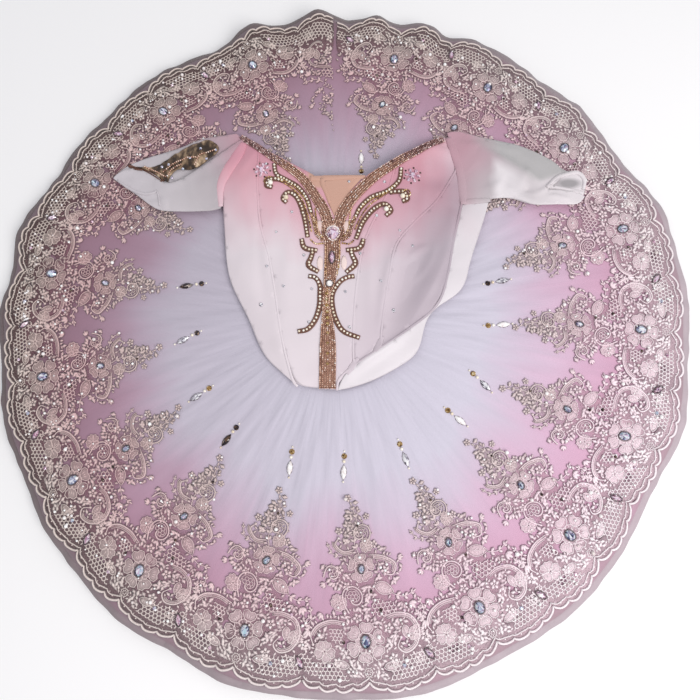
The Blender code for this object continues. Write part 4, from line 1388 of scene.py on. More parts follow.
# %% One repeat of the lace
STONE_FLOWER = np.array((0, 433))
SECOND_FLOWER = np.array((3, 345))
SPRAY = (
    # the outline of a repeat, side and radius in mm
    (-79, 424), (-62, 403), (-40, 398), (-24, 402), (-26, 374), (-48, 358), (-48, 342), (-22, 342),
    (-36, 316), (-16, 298), (-6, 262), (4, 262), (20, 298), (18, 318), (38, 326), (58, 350),
    (42, 374), (48, 388), (74, 390), (70, 408), (79, 424), (79, 470), (60, 476), (20, 476),
    (0, 470), (-20, 476), (-60, 476), (-79, 470),
)
REPEAT = (
    # the motifs of a repeat: place and size in mm, turn in degrees, and what else a motif takes
    (flower, STONE_FLOWER, 6, 24, 8), (flower, SECOND_FLOWER, 5, 17, 20),
    (flower, (-54, 444), 5, 13, 12, 1), (flower, (-30, 386), 5, 10.5, 30, 1),
    (flower, (64, 430), 5, 9.5, 5, 1), (flower, (12, 318), 5, 8.5, 40, 1),
    (comma_leaf, (-12, 380), 13, 205, 1), (comma_leaf, (8, 303), 11, 165, -1),
    (comma_leaf, (-36, 350), 8.5, 250, 1),
    (scroll, ((24, 405), (42, 402), (60, 409), (69, 426), (64, 443), (50, 449), (40, 441),
              (45, 431)), 9, -1),
    (scroll, ((-24, 409), (-42, 407), (-60, 413), (-70, 425), (-68, 436)), 7, 1),
    (scroll, ((14, 330), (32, 334), (48, 346), (44, 358), (33, 356)), 5, -1),
    (scroll, ((-4, 322), (-18, 324), (-28, 315), (-23, 307)), 3, 1),
    (broad_leaf, (18, 366), 27, 14, 28), (broad_leaf, (50, 418), 17, 9, 75),
    (broad_leaf, (20, 462), 22, 10, -8), (broad_leaf, (-24, 460), 20, 10, 188),
    (bud, (62, 394), 60, 11), (bud, (78, 420), 95, 10), (bud, (-54, 399), 120, 9),
    (bud, (-46, 364), 160, 8), (bud, (52, 340), 10, 8),
    (stem, ((40, 380), (54, 386), (66, 384)), 7.5, 3),
    (stem, ((2, 330), (-3, 312), (3, 288), (-2, 266)), 7, 6),
    (stem, ((68, 418), (78, 408), (74, 396)), 7, 3),
    (stem, ((-70, 424), (-76, 412), (-70, 404)), 6, 3),
    (stem, ((-22, 330), (-34, 326), (-38, 316)), 5.5, 3),
    (honeycomb, ((14, 382), (30, 386), (44, 392), (40, 402), (24, 404), (10, 402))),
    (honeycomb, ((32, 456), (60, 452), (82, 446), (82, 470), (60, 477), (26, 477))),
    (honeycomb, ((-82, 446), (-68, 456), (-40, 458), (-24, 477), (-60, 477), (-82, 469))),
    (honeycomb, ((-46, 418), (-30, 416), (-28, 436), (-44, 432)), 4.8),
    (small_flower, (34, 352), 5.4, 40), (small_flower, (22, 318), 4.6, 0),
    (small_flower, (-22, 298), 4.6, 25), (small_flower, (-6, 256), 4.4, 15),
    (small_flower, (16, 282), 4, 50), (small_flower, (30, 418), 5.6, 5),
    (small_flower, (76, 437), 5.6, 18), (small_flower, (-26, 346), 5, 12),
    (small_flower, (33, 452), 5.4, 44), (small_flower, (-8, 404), 5.4, 33),
    (small_flower, (-38, 456), 5.2, 8), (small_flower, (-18, 366), 4.6, 20),
    (rosette, (0, 467), 5), (rosette, (66, 458), 6), (filled, SPRAY, 4.9, 2.1),
)


def draw_repeat():
    drawing = Drawing()
    for motif, *values in REPEAT:
        motif(drawing, *values)
    return drawing


repeat_drawing = draw_repeat()
print("one repeat:", len(repeat_drawing.parts), "pieces of thread,",
      sum(len(face) - 2 for face in repeat_drawing.faces), "triangles")

# %% [markdown]
# ## The lace: laid round the plate
# Seventeen flowers stand round the rim, a little closer on the right than on the left, and the
# strip's two ends meet at the centre back. Where the last repeats run over the seam, the pieces
# of thread beyond it are left out. An array modifier could set the repeats out, but it couldn't
# bend each one to the plate's own surface, so the drawing's points are placed by `plate`.

# %% Where the flowers stand
LACE_FIRST = -84.5  # degrees, the flower at the front
LACE_RIGHT = (20.25, 8)  # repeat in degrees, and how many follow the first
LACE_LEFT = (-20.95, 8)
LACE_SEAM = 90.3
DRAWN_REPEAT = 20.25  # the repeat that the drawing is made for
THREAD_LIFT = GROUND_LIFT - 0.0001
flowers = [(LACE_FIRST, LACE_RIGHT[0])]
for turn, count in (LACE_RIGHT, LACE_LEFT):
    flowers += [(LACE_FIRST + turn * k, abs(turn)) for k in range(1, count + 1)]
flowers.sort()
first_edge, last_edge = LACE_SEAM - 359.8, LACE_SEAM - 0.2
whole = [(flowers[0][0] + LACE_LEFT[0], flowers[0][1]), *flowers,
         (flowers[-1][0] + LACE_RIGHT[0], flowers[-1][1])]
print("flowers at", [round(at) for at, repeat in flowers])


def bent(points, at, repeat, lift=THREAD_LIFT):
    """Bends points of the flat drawing onto the plate round the flower at an angle."""
    angle = at + np.degrees(points[:, 0] / points[:, 1]) * repeat / DRAWN_REPEAT
    return plate(points[:, 1] * MM, angle, lift + points[:, 2] * MM), angle


# %% Thread
def lace_thread_finish():
    finish = Finish("lace_thread", roughness=0.55, Sheen_Weight=0.4, Sheen_Roughness=0.35)
    # the thread has shade painted in on the side away from the lamp
    lamp_share = lamp_facing(finish)
    outer = outwards(finish, 0.80, 0.93)
    shade_hue = finish.mix(outer, screen(222, 186, 186), screen(222, 206, 198))
    bright = finish.mix(outer, screen(250, 230, 240), screen(255, 245, 249))
    tip = outwards(finish, *SPRAY_TIP)
    hue = finish.mix(tip, finish.mix(lamp_share, shade_hue, bright), screen(206, 193, 186))
    # at each thread's foot a dark colour is painted: shade in the recesses between threads,
    # darkest in the band along the rim and away from the lamp
    shade_foot = finish.mix(outer, screen(128, 98, 100), screen(74, 60, 56))
    foot = finish.mix(lamp_share, shade_foot, screen(208, 178, 190))
    foot = finish.mix(tip, foot, screen(152, 138, 134))
    # the painted shade at the foot gives way to the thread's own colour as the thread rises
    rise = finish.mask(finish.carried("rise"), (0.08, 0), (0.62, 1))
    hue = finish.brightened(finish.mix(rise, foot, hue), finish.noise(22, 2), 0.08)
    spots = finish.noise(420, 2)
    finish.colour(hue, spots, 0.24)
    finish.bump(finish.times(finish.twill(4200), 0.4, spots), 0.0003, 0.6)
    return finish


lace_thread = lace_thread_finish()
print("thread:", len(lace_thread.tree.nodes), "nodes")

# %% Lay the thread
GROUPS = 7  # pieces that the thread work is parted into


def laid(drawing, places, by_part=True):
    """A drawing at these flowers: points, faces and how far each point rises, 0 to 1.

    What lies beyond the seam is left out by whole pieces of thread, or face by face."""
    flat = np.vstack(drawing.points)
    part_of = np.repeat(np.arange(len(drawing.parts)),
                        [stop - start for start, stop in drawing.parts])
    points, faces = [], []
    for at, repeat in places:
        placed, angle = bent(flat, at, repeat)
        beyond = (angle < first_edge) | (angle > last_edge)
        if by_part:
            out = np.zeros(len(drawing.parts), bool)
            np.logical_or.at(out, part_of, beyond)
            beyond = out[part_of]
        beyond, start = beyond.tolist(), len(flat) * len(points)
        faces += [[corner + start for corner in face] for face in drawing.faces
                  if not any(beyond[corner] for corner in face)]
        points.append(placed)
    return np.vstack(points), faces, np.tile(np.clip(flat[:, 2], 0, 1), len(places))


def thread_piece(name, points, faces, rise):
    piece = marked(new_piece(name, points, faces, lace_thread), "rise", rise)
    return dressed(facing_out(piece), "lace_blush", "lace_border")


for order, chosen in enumerate(np.array_split(np.arange(len(whole)), GROUPS)):
    thread_piece(f"lace_thread_{order}",
                                    *laid(repeat_drawing, [whole[k] for k in chosen]))

# %% [markdown]
# ## The lace: the scalloped rim
# Two scallops go to each repeat. Outside, a heavy cord follows them in four small loops to a
# scallop; inside runs a finer, waved cord, with knots and short stitches between the two. They
# are drawn flat like the motifs, so the same bending lays them along the whole edge.

# %% Rim cords
SCALLOP_HALF = 79  # mm, half a repeat on the rim
SCALLOP_DEPTH = 9
LOOPS = 4
LOOP_DEPTH = 4.2
RIM_STEPS = 40  # points along half a repeat
MIDDLE = 447  # mm, the radius at which a repeat has its own width
RIM_CORDS = (
    # how far inside the edge, width, height, share of the loops, height of the waves, in mm
    (5.6, 2.4, 1.9, 0.6, 1), (0.4, 4.2, 2.2, 1, 0.5),
)


def scallop(share, inward):
    """Radius of a cord that lies inside the lace's scalloped edge, in mm."""
    return LACE_RADIUS / MM - inward + SCALLOP_DEPTH * np.sin(np.pi * share) ** 0.7


def on_edge(half, share, inward):
    y = float(scallop(share, inward))
    return (half - 1 + share) * SCALLOP_HALF * y / MIDDLE, y


def rim_pieces():
    drawing = Drawing()
    for half in (0, 1):
        share = np.linspace(0, 1, RIM_STEPS + 1)
        x = (half - 1 + share) * SCALLOP_HALF
        loops = LOOP_DEPTH * np.abs(np.sin(np.pi * share * LOOPS)) ** 0.7
        waves = np.sin(np.pi * share * LOOPS * 2 + half)
        for inward, width, height, frill, wave in RIM_CORDS:
            y = scallop(share, inward) + loops * frill + waves * wave
            drawing.strip(np.column_stack([x * y / MIDDLE, y]), width, height)
        for k in range(LOOPS):
            middle = (k + 0.5) / LOOPS
            drawing.knot(on_edge(half, middle, 2), 1.3, 1.3, 6)
            for step in (-0.07, 0.07):
                foot = on_edge(half, middle + step, 4.2)
                drawing.petal((foot[0], foot[1] - 2.2), 90, 4, 1.5, 0.9, 4)
    return drawing


rim_cord = thread_piece("lace_rim", *laid(rim_pieces(), whole, by_part=False))

# %% [markdown]
# ## Stones, pearls and beads
# Sewn-on stones are flat below, with a table and a ring of facets above. Each kind is modelled
# once by hand tools: a cylinder is the start, its top is drawn up, drawn in and turned by half a
# facet, and the sides are split so that the facets are flat. The copies share that one shape.
# What makes a coated stone sparkle is that every facet throws back another colour. Here that is
# painted: each facet carries a random number, and the material looks up from it a dark, a
# coloured or a white painted reflection. A bead carries one such number, for its own tone.


# %% Models
def choose(piece, wanted):
    """Selects just these faces of a piece that is in edit mode."""
    bpy.ops.mesh.select_all(action="DESELECT")
    bm = bmesh.from_edit_mesh(piece.data)
    for face in bm.faces:
        if wanted(face):
            face.select_set(True)
    bmesh.update_edit_mesh(piece.data)


def started(primitive, **settings):
    """A new primitive, alone in edit mode with all of it selected."""
    bpy.ops.object.select_all(action="DESELECT")
    primitive(**settings)
    bpy.ops.object.transform_apply(location=True, rotation=True, scale=True)
    bpy.ops.object.mode_set(mode="EDIT")
    bpy.ops.mesh.select_all(action="SELECT")
    return bpy.context.active_object


def taken(piece, faceted=False):
    """A finished model's points and faces, and if it is faceted. The object is cleared away.

    The faces are put in a fixed order, so that every run gives each facet the same painted
    reflection."""
    bpy.ops.object.mode_set(mode="OBJECT")
    points = np.array([tuple(vert.co) for vert in piece.data.vertices])
    faces = []
    for face in piece.data.polygons:
        corners = list(face.vertices)
        first = corners.index(min(corners))
        faces.append(corners[first:] + corners[:first])
    bpy.data.objects.remove(piece)
    return points, sorted(faces), faceted


def cut_stone(sides, table=0.55, height=0.50, girdle=0.16):
    """A round stone of radius 1 that stands on z 0."""
    stone = started(bpy.ops.mesh.primitive_cylinder_add, vertices=sides, radius=1,
                    depth=girdle, location=(0, 0, girdle / 2))
    choose(stone, lambda face: face.normal.z > 0.9)
    bpy.ops.mesh.extrude_region_move(TRANSFORM_OT_translate={"value": (0, 0, height - girdle)})
    bpy.ops.transform.resize(value=(table, table, 1), center_override=(0, 0, height))
    bpy.ops.transform.rotate(value=math.pi / sides, orient_axis="Z",
                             center_override=(0, 0, height))
    bpy.ops.mesh.select_all(action="SELECT")
    bpy.ops.mesh.quads_convert_to_tris(quad_method="FIXED", ngon_method="BEAUTY")
    bpy.ops.mesh.normals_make_consistent(inside=False)
    return taken(stone, faceted=True)


def bead(segments, rings, rest=-0.5):
    """A ball of radius 1, cut flat below at height rest and set on z 0."""
    ball = started(bpy.ops.mesh.primitive_uv_sphere_add, segments=segments, ring_count=rings,
                   radius=1)
    bpy.ops.mesh.bisect(plane_co=(0, 0, rest), plane_no=(0, 0, -1), use_fill=True,
                        clear_outer=True)
    bpy.ops.mesh.select_all(action="SELECT")
    bpy.ops.transform.translate(value=(0, 0, -rest))
    bpy.ops.mesh.normals_make_consistent(inside=False)
    return taken(ball)


def collar(around, thick=0.13):
    """A ring of radius 1, the setting that a stone is held in."""
    ring = started(bpy.ops.mesh.primitive_torus_add, major_segments=around, minor_segments=4,
                   major_radius=1, minor_radius=thick, location=(0, 0, thick))
    choose(ring, lambda face: face.normal.z > 0.3)
    bpy.ops.transform.resize(value=(1, 1, 1.5), center_override=(0, 0, thick))
    return taken(ring)


def pointed(model, lower=True, upper=True, waist=1.5):
    """The same model drawn to a point at one end or both."""
    points = model[0].copy()
    y = np.clip(points[:, 1], -1, 1)
    tip = np.where(y > 0, upper, lower)
    points[:, 0] *= np.where(tip, (1 - np.abs(y) ** waist + 0.02) ** 0.45, 1)
    return points, *model[1:]


# %% The set of models
ROUND_STONE = cut_stone(8)
BIG_STONE = cut_stone(12, 0.60, 0.55)
NAVETTE = pointed(cut_stone(10, 0.50, 0.55), waist=2.2)
DROP_STONE = pointed(cut_stone(12, 0.52, 0.62), upper=False)
PEARL = bead(8, 6)
SEED_BEAD = bead(6, 4)
COLLAR = collar(12)
SATIN_PETAL = (*BIG_STONE[:2], False)
for title, model in (("stone", ROUND_STONE), ("navette", NAVETTE), ("pearl", PEARL),
                     ("seed bead", SEED_BEAD), ("collar", COLLAR)):
    print(title, sum(len(face) - 2 for face in model[1]), "triangles")

# %% [markdown]
# One function lays the copies. A place is a point, a turn and three sizes. The random number
# that the colour is looked up from is drawn again for each facet of a stone, for its painted
# reflection, and once for a whole bead, for its own tone.


# %% Copies
def copies(name, model, places, finish):
    points, faces, faceted = model
    rows = np.asarray(places, float)
    turn = np.radians(rows[:, 3])[:, None]
    sized = points[None] * rows[:, None, 4:7]
    x = sized[..., 0] * np.cos(turn) - sized[..., 1] * np.sin(turn) + rows[:, 0, None]
    y = sized[..., 0] * np.sin(turn) + sized[..., 1] * np.cos(turn) + rows[:, 1, None]
    z = sized[..., 2] + rows[:, 2, None]
    laid_points = np.stack([x, y, z], axis=-1).reshape(-1, 3)
    laid_faces = [[corner + k * len(points) for corner in face]
                  for k in range(len(rows)) for face in faces]
    piece = new_piece(name, laid_points, laid_faces, finish, smooth=not faceted)
    tones_and_glints = random.random(len(laid_faces) if faceted else len(rows))
    return marked(piece, "tone", tones_and_glints if faceted else np.repeat(tones_and_glints, len(faces)), "FACE")


def sewn(name, model, places, finish, slot="crystal_pink"):
    """Copies that are sewn on, all in one piece."""
    return dressed(copies(name, model, places, finish), slot)


# %% Their finishes
def toned_finish(name, stops, roughness, **settings):
    """A finish that looks its colour up from a random number: a stone's painted reflection, facet
    by facet, or a bead's own tone.
    """
    finish = Finish(name, roughness=roughness, **settings)
    finish.colour(finish.ramp(finish.carried("tone"), stops), finish.noise(300, 2), 0.06)
    return finish


CRYSTAL = {"Metallic": 0.25, "Coat_Weight": 0.6, "Coat_Roughness": 0.03}

# the faceted stones' ramps run from dark to white: painted reflections, one to each facet
crystal_coated = toned_finish("crystal_coated", (
    (0, 34, 40, 72), (0.18, 104, 110, 150), (0.36, 196, 200, 222), (0.55, 248, 248, 252),
    (0.72, 176, 210, 224), (0.86, 214, 190, 216), (1, 110, 92, 120),
), 0.06, **CRYSTAL)
crystal_rose = toned_finish("crystal_rose", (
    (0, 92, 52, 80), (0.25, 186, 128, 160), (0.5, 244, 214, 226), (0.75, 252, 242, 246),
    (1, 190, 160, 200),
), 0.06, **CRYSTAL)
crystal_clear = toned_finish("crystal_clear", (
    (0, 84, 80, 92), (0.30, 160, 156, 168), (0.60, 226, 224, 232), (1, 255, 255, 255),
), 0.06, **CRYSTAL)
stone_dark = toned_finish("stone_dark", (
    (0, 18, 16, 22), (0.6, 52, 40, 44), (0.85, 120, 92, 70), (1, 210, 200, 190),
), 0.10, Metallic=0.3)
stone_gold = toned_finish("stone_gold", (
    (0, 90, 66, 40), (0.5, 176, 138, 84), (0.85, 224, 196, 140), (1, 250, 240, 214),
), 0.14, Metallic=0.6)
sequin_white = toned_finish("sequin_white", (
    (0, 224, 212, 210), (0.3, 246, 240, 240), (1, 255, 255, 255),
), 0.18, Coat_Weight=0.6, Coat_Roughness=0.08)
pearl_cream = toned_finish("pearl_cream", (
    (0, 226, 208, 180), (0.5, 243, 232, 212), (1, 252, 248, 238),
), 0.22, Coat_Weight=0.5, Coat_Roughness=0.12)
setting_metal = Finish("setting_metal", roughness=0.35, Metallic=0.8)
setting_metal.colour(screen(120, 108, 112), setting_metal.noise(240), 0.2)
print("a coated stone's finish:", len(crystal_coated.tree.nodes), "nodes")

# %% [markdown]
# ## Stones on the lace and the drops on the net
# Every flower holds a coated stone in a setting, the second flower of a repeat a smaller one.
# Small dark stones, each beside a pale bead, and clear sequin-sized beads are strewn over the
# thread. In line with each repeat, on the plain net near the hips, hangs a drop: a bead, a gold
# or dark stone, a bead again and a long navette, clear, white or dark, all pointing at the
# centre. Scattering them by a particle system would lose their places, so each one is set.

# %% Stones on the lace
STONE_LIFT = THREAD_LIFT + 0.9 * MM
STONES = (
    # model, finish, x and y in mm on the drawing, half sizes in mm, turn in degrees
    (BIG_STONE, crystal_coated, *STONE_FLOWER, 5.6, 7.2, 6, 10),
    (BIG_STONE, crystal_coated, *SECOND_FLOWER, 3.6, 5, 5, -15),
    (NAVETTE, crystal_rose, 78, 459, 3.4, 7, 5, 35),
    (ROUND_STONE, stone_dark, 22, 396, 2.3, 2.3, 3.6, 0),
    (ROUND_STONE, stone_dark, -31, 433, 2, 2, 3.6, 0),
    (ROUND_STONE, stone_dark, 14, 372, 2, 2, 3.6, 0),
    (ROUND_STONE, crystal_rose, -34, 468, 2.4, 2.4, 3.4, 0),
    (ROUND_STONE, crystal_coated, 46, 462, 2.6, 2.6, 3.4, 0),
    (ROUND_STONE, crystal_rose, 52, 402, 2.2, 2.2, 3.2, 0),
    (ROUND_STONE, stone_dark, 4, 288, 1.8, 1.8, 3.2, 0),
)
SHARE_SET = 0.86  # how many of the small stones are still on


def seat(x, y, at, repeat, lift):
    place, angle = bent(np.array([[x, y, 0]]), at, repeat, lift)
    return place[0], float(angle[0])


lace_stones, collars = {}, []
for at, repeat in flowers:
    for model, finish, x, y, wide, long, tall, turn in STONES:
        if wide < 3 and random.random() > SHARE_SET:
            continue
        shift = random.normal(0, 1 if wide > 3 else 2, 2)
        place, angle = seat(x + shift[0], y + shift[1], at, repeat, STONE_LIFT)
        if not first_edge < angle < last_edge:
            continue
        swing = angle - 90 + turn + random.normal(0, 9)
        key = (finish.material.name, id(model))
        lace_stones.setdefault(key, (model, finish, []))[2].append(
            (*place, swing, wide * MM, long * MM, tall * MM))
        if wide > 3:
            collars.append((*place, swing, (wide + 0.9) * MM, (long + 0.9) * MM, 6 * MM))
for (title, _), (model, finish, places) in sorted(lace_stones.items(), key=lambda row: row[0][0]):
    sewn(f"lace_{title}_{len(model[0])}", model, places, finish)
sewn("lace_collars", COLLAR, collars, setting_metal)

# %% Sequin beads on the lace
BEADS_A_REPEAT = 58
drawn = np.vstack(repeat_drawing.points)
strewn = []
for at, repeat in flowers:
    parts = random.choice(len(repeat_drawing.parts), BEADS_A_REPEAT, replace=False)
    for part in parts:
        start, stop = repeat_drawing.parts[part]
        x, y, top = drawn[start:stop].mean(axis=0)
        place, angle = seat(x, y, at, repeat, THREAD_LIFT + 0.8 * MM)
        if first_edge < angle < last_edge:
            size = random.choice((1.3, 1.7, 2.1, 2.9), p=(0.36, 0.32, 0.22, 0.10)) * MM
            strewn.append((*place, 0, size, size, size * 0.8))
sewn("lace_beads", SEED_BEAD, strewn, sequin_white)
print(len(strewn), "beads on the lace")

# %% Drops on the net
DROPS = (
    # degrees at its first bead, degrees at its last, radius of the first bead in mm
    (165.5, 169.5, 196), (-173, -169.6, 194), (-149, -148.6, 200), (-130.2, -129.7, 205),
    (-106.8, -105, 197), (-85.9, -87, 195), (-64, -65, 199), (-41.7, -41.4, 203),
    (-24, -27.7, 206), (-5.2, -3.7, 212), (11.2, 11.1, 218), (80, 81.6, 222),
)
DROP_STONES = "ddgdggggggdg"  # dark or gold, drop by drop
DROP_LEAVES = "dccdwwcwcwcw"  # dark, clear or white
DROP_LIFT = 0.05 * MM
DROP_LENGTH = 40  # mm
beads, holders = [], []
rounds = {"d": [], "g": []}
leaves = {"d": [], "c": [], "w": []}
for (first, last, start), stone, leaf in zip(DROPS, DROP_STONES, DROP_LEAVES):
    def on_net(along):
        angle = first + (last - first) * along / DROP_LENGTH
        return plate(np.array([(start + along) * MM]), np.array([angle]), DROP_LIFT)[0]

    for along, size in ((-1, 1.4), (12.6, 2.3), (39.5, 1.5)):
        beads.append((*on_net(along), 0, size * MM, size * MM, size * 0.9 * MM))
    rounds[stone].append((*on_net(5.5), first, 4 * MM, 4 * MM, 4.8 * MM))
    tip, end = on_net(20), on_net(36)
    turn = heading_of(end - tip) - 90
    leaves[leaf].append((*on_net(27), turn, 4.1 * MM, 10.2 * MM, 5.6 * MM))
    holders.append((*on_net(27), turn, 3.9 * MM, 9.8 * MM, 4.2 * MM))
for title, model, places, finish in (
        ("drop_beads", PEARL, beads, pearl_cream),
        ("drop_stones_dark", ROUND_STONE, rounds["d"], stone_dark),
        ("drop_stones_gold", ROUND_STONE, rounds["g"], stone_gold),
        ("drop_navettes_dark", NAVETTE, leaves["d"], stone_dark),
        ("drop_navettes", NAVETTE, leaves["c"], crystal_clear),
        ("drop_navettes_white", NAVETTE, leaves["w"], sequin_white),
        ("drop_settings", pointed(COLLAR, waist=2.2), holders, setting_metal)):
    sewn(title, model, places, finish)
print(len(DROPS), "drops")

# %% [markdown]
# ## Trimmings: bands that follow a line
# The neck trims and the centre braid are bands of bronze net, closely set with seed beads in
# rows. The scrolls are cut from the same band, dark, with a bright rim and a row of pearls down
# the middle. Both are ribbons: a cross-section carried along a line that lies on the bodice.

# %% Lines
ON_PANEL = 0.05 * MM


def spaced(rows, step):
    """A smooth line through rows of numbers, resampled to even steps along x and y."""
    path = smooth_path(rows, 12)
    run = np.concatenate([[0], np.cumsum(np.hypot(*np.diff(path[:, :2], axis=0).T))])
    marks = np.linspace(0, run[-1], max(int(round(run[-1] / step)), 2) + 1)
    return np.column_stack([np.interp(marks, run, column) for column in path.T])


def beside(path):
    """Unit steps along a line and across it."""
    ahead = np.gradient(path[:, :2], axis=0)
    ahead /= np.linalg.norm(ahead, axis=1)[:, None]
    return ahead, np.column_stack([-ahead[:, 1], ahead[:, 0]])


print("60 mm in even steps:", len(spaced(((0, 0), (60, 0)), 5)), "points")


# %% Ribbons
def ribbon(name, path, half, section, finish, under=on_bodice, bridging=False):
    """A band on a surface; section is rows of (share of the half width, height in mm).

    A bridging band spans evenly from edge to edge and doesn't sink into a gap below it."""
    across = beside(path)[1]

    def along(share):
        place = (path[:, :2] + across * (half * share)[:, None]) * MM
        return place, np.array([under(x, y) for x, y in place])

    rows, ends = [], []
    for share in (-1, 1) if bridging else ():
        z = np.pad(along(share)[1], 2, mode="edge")
        z = np.maximum(np.maximum(z[:-2], z[1:-1]), z[2:])
        ends.append((z[:-2] + z[1:-1] + z[2:]) / 3)
    for share, height in section:
        place, z = along(share)
        if bridging:
            z = ends[0] + (ends[1] - ends[0]) * (share + 1) / 2
        rows.append(np.column_stack([place, z + ON_PANEL + height * MM]))
    points = np.stack(rows, axis=1).reshape(-1, 3)
    wide, count = len(section), len(path)
    faces = []
    for k in range(count - 1):
        a, b = k * wide, (k + 1) * wide
        faces += [(a + m, a + (m + 1) % wide, b + (m + 1) % wide, b + m) for m in range(wide)]
    faces.append(tuple(range(wide - 1, -1, -1)))
    faces.append(tuple(range((count - 1) * wide, count * wide)))
    return facing_out(new_piece(name, points, faces, finish))


def bands(title, table, step, section, finish, **more):
    """A ribbon for each line of a table; its third number is the half width."""
    made = []
    for order, rows in enumerate(table):
        path = spaced(rows, step)
        made.append(ribbon(f"{title}_{order}", path, path[:, 2], section, finish, **more))
    return made


def on_line(path, side, lift, size, wobble):
    """Places for copies along a line on the bodice, side mm to its left."""
    ahead, across = beside(path)
    side = np.broadcast_to(side, len(path))
    places = []
    for point, way, out, off in zip(path, ahead, across, side):
        x, y = (point[:2] + out * off + random.normal(0, wobble, 2)) * MM
        scale = random.uniform(0.93, 1.07)
        places.append((x, y, on_bodice(x, y) + ON_PANEL + lift * MM, heading_of(way),
                       *(value * scale * MM for value in size)))
    return places


BAND = ((-1, 0), (-0.96, 0.7), (-0.6, 1), (0, 1.1), (0.6, 1), (0.96, 0.7), (1, 0))
GROOVED = ((-1, 0), (-0.98, 1), (-0.80, 1.6), (-0.60, 1.1), (0, 0.7), (0.60, 1.1),
           (0.80, 1.6), (0.98, 1), (1, 0))

print("a band's section has", len(BAND), "points and a scroll's", len(GROOVED))

# %% Finishes of the trimmings
PLUM_FROM = 0.232  # metres up, where the neck trims turn darker towards the shoulders

net_bronze = Finish("net_bronze", roughness=0.45, Metallic=0.55)
weave = net_bronze.cells(900)
bronze = net_bronze.mix(net_bronze.times(weave, 1.6), screen(134, 98, 84), screen(206, 164, 144))
plum = net_bronze.mask(net_bronze.axes()[1], (PLUM_FROM - 0.015, 1),
                       (PLUM_FROM + 0.015, (0.60, 0.50, 0.56, 1)))
net_bronze.colour(net_bronze.through(bronze, plum))
net_bronze.bump(weave, 0.0006, 0.8)
band_dark = Finish("band_dark", roughness=0.38, Metallic=0.45)
band_dark.colour(screen(118, 82, 70), band_dark.noise(420, 3), 0.6)
band_dark.bump(band_dark.noise(600, 2), 0.0004, 0.6)
bead_rose = toned_finish("bead_rose", (
    (0, 140, 98, 84), (0.25, 194, 150, 130), (0.60, 222, 184, 162), (0.88, 236, 206, 190),
    (1, 255, 246, 240),
), 0.22, Metallic=0.35)
bead_plum = toned_finish("bead_plum", (
    (0, 104, 76, 78), (0.35, 148, 112, 110), (0.75, 200, 162, 158), (1, 252, 234, 232),
), 0.22, Metallic=0.35)
bead_gold = toned_finish("bead_gold", (
    (0, 112, 84, 48), (0.4, 180, 142, 84), (0.8, 222, 190, 132), (1, 250, 238, 206),
), 0.20, Metallic=0.6)
print("seed beads in", [beads.material.name for beads in (bead_rose, bead_plum, bead_gold)])

# %% [markdown]
# ## Neck trims and centre braid
# The seed beads sit in rows across the band; the outer rows are a shade larger. Down the middle
# of the centre braid runs a line of larger gold stones.

# %% Braids
BRAIDS = {
    # x, y, half width, in mm
    "neck_trim_left": ((-145, 283, 3), (-136, 275, 3.8), (-120, 262, 4.5), (-95, 241, 5),
                       (-68, 221, 6.2), (-46, 200, 6.6), (-27, 171, 7.6), (-14, 147, 8.4),
                       (-7, 125, 7.5)),
    "neck_trim_right": ((163, 270, 4), (140, 257, 5), (112, 240, 6.2), (84, 222, 7.2),
                        (56, 201, 7.6), (31, 175, 8), (14, 150, 8.4), (4, 125, 7.5)),
    "centre_braid": ((-3, 103, 11), (-3, 78, 11), (-6, 42, 8.5), (-10, 20, 5.2), (-10, 0, 5.4),
                     (-8.5, -24, 9), (-8, -60, 11.5), (-9, -109, 11.5)),
}
SEED_PITCH = 2.6  # mm between seed beads
LANE_PITCH = 2.9  # mm between their rows
for name, rows in BRAIDS.items():
    path = spaced(rows, 4)
    band = ribbon(name + "_band", path, path[:, 2], BAND, net_bronze)
    lanes = max(int(2 * path[:, 2].max() * 0.9 / LANE_PITCH), 3)
    places = []
    for share in np.linspace(-0.88, 0.88, lanes):
        size = 1.45 if abs(share) > 0.8 else 1.2
        shifted = spaced(rows, SEED_PITCH * random.uniform(0.97, 1.05))
        places += on_line(shifted, shifted[:, 2] * share, 0.75, (size, size * 0.85, size), 0.16)
    low = [place for place in places if place[1] < random.normal(PLUM_FROM, 0.009)]
    high = [place for place in places if place not in low]
    seeds = [copies(name + "_seeds", SEED_BEAD, low, bead_rose)]
    if high:
        seeds.append(copies(name + "_dark_seeds", SEED_BEAD, high, bead_plum))
    dressed(joined(name + "_beaded", [band, *seeds]), "braid_bronze", name)
    print(len(places), "seed beads in", lanes, "rows")

# %% [markdown]
# The skin-coloured insert ends in a straight bound edge between the two neck trims, and a tape
# of the same net covers its join with the facing on the left.

# %% Tapes on the insert
TAPES = (
    ((-37, 203, 4.2), (-20, 202.5, 4.6), (0, 203, 4), (24, 203.5, 3.2), (45, 203, 3)),
    ((-18.5, 203, 4), (-18, 194, 3.6), (-12, 178, 3.2), (-7, 162, 2.4)),
)
FLAT_TAPE = ((-1, 0), (-0.95, 0.35), (0.95, 0.35), (1, 0))
dressed(joined("insert_tapes", bands("tape", TAPES, 3, FLAT_TAPE, insert_finish)),
        "insert_nude")

# %% [markdown]
# ## Beaded scrolls
# Six scrolls on each side of the centre front, a little unlike from side to side, because they
# were sewn on by eye.

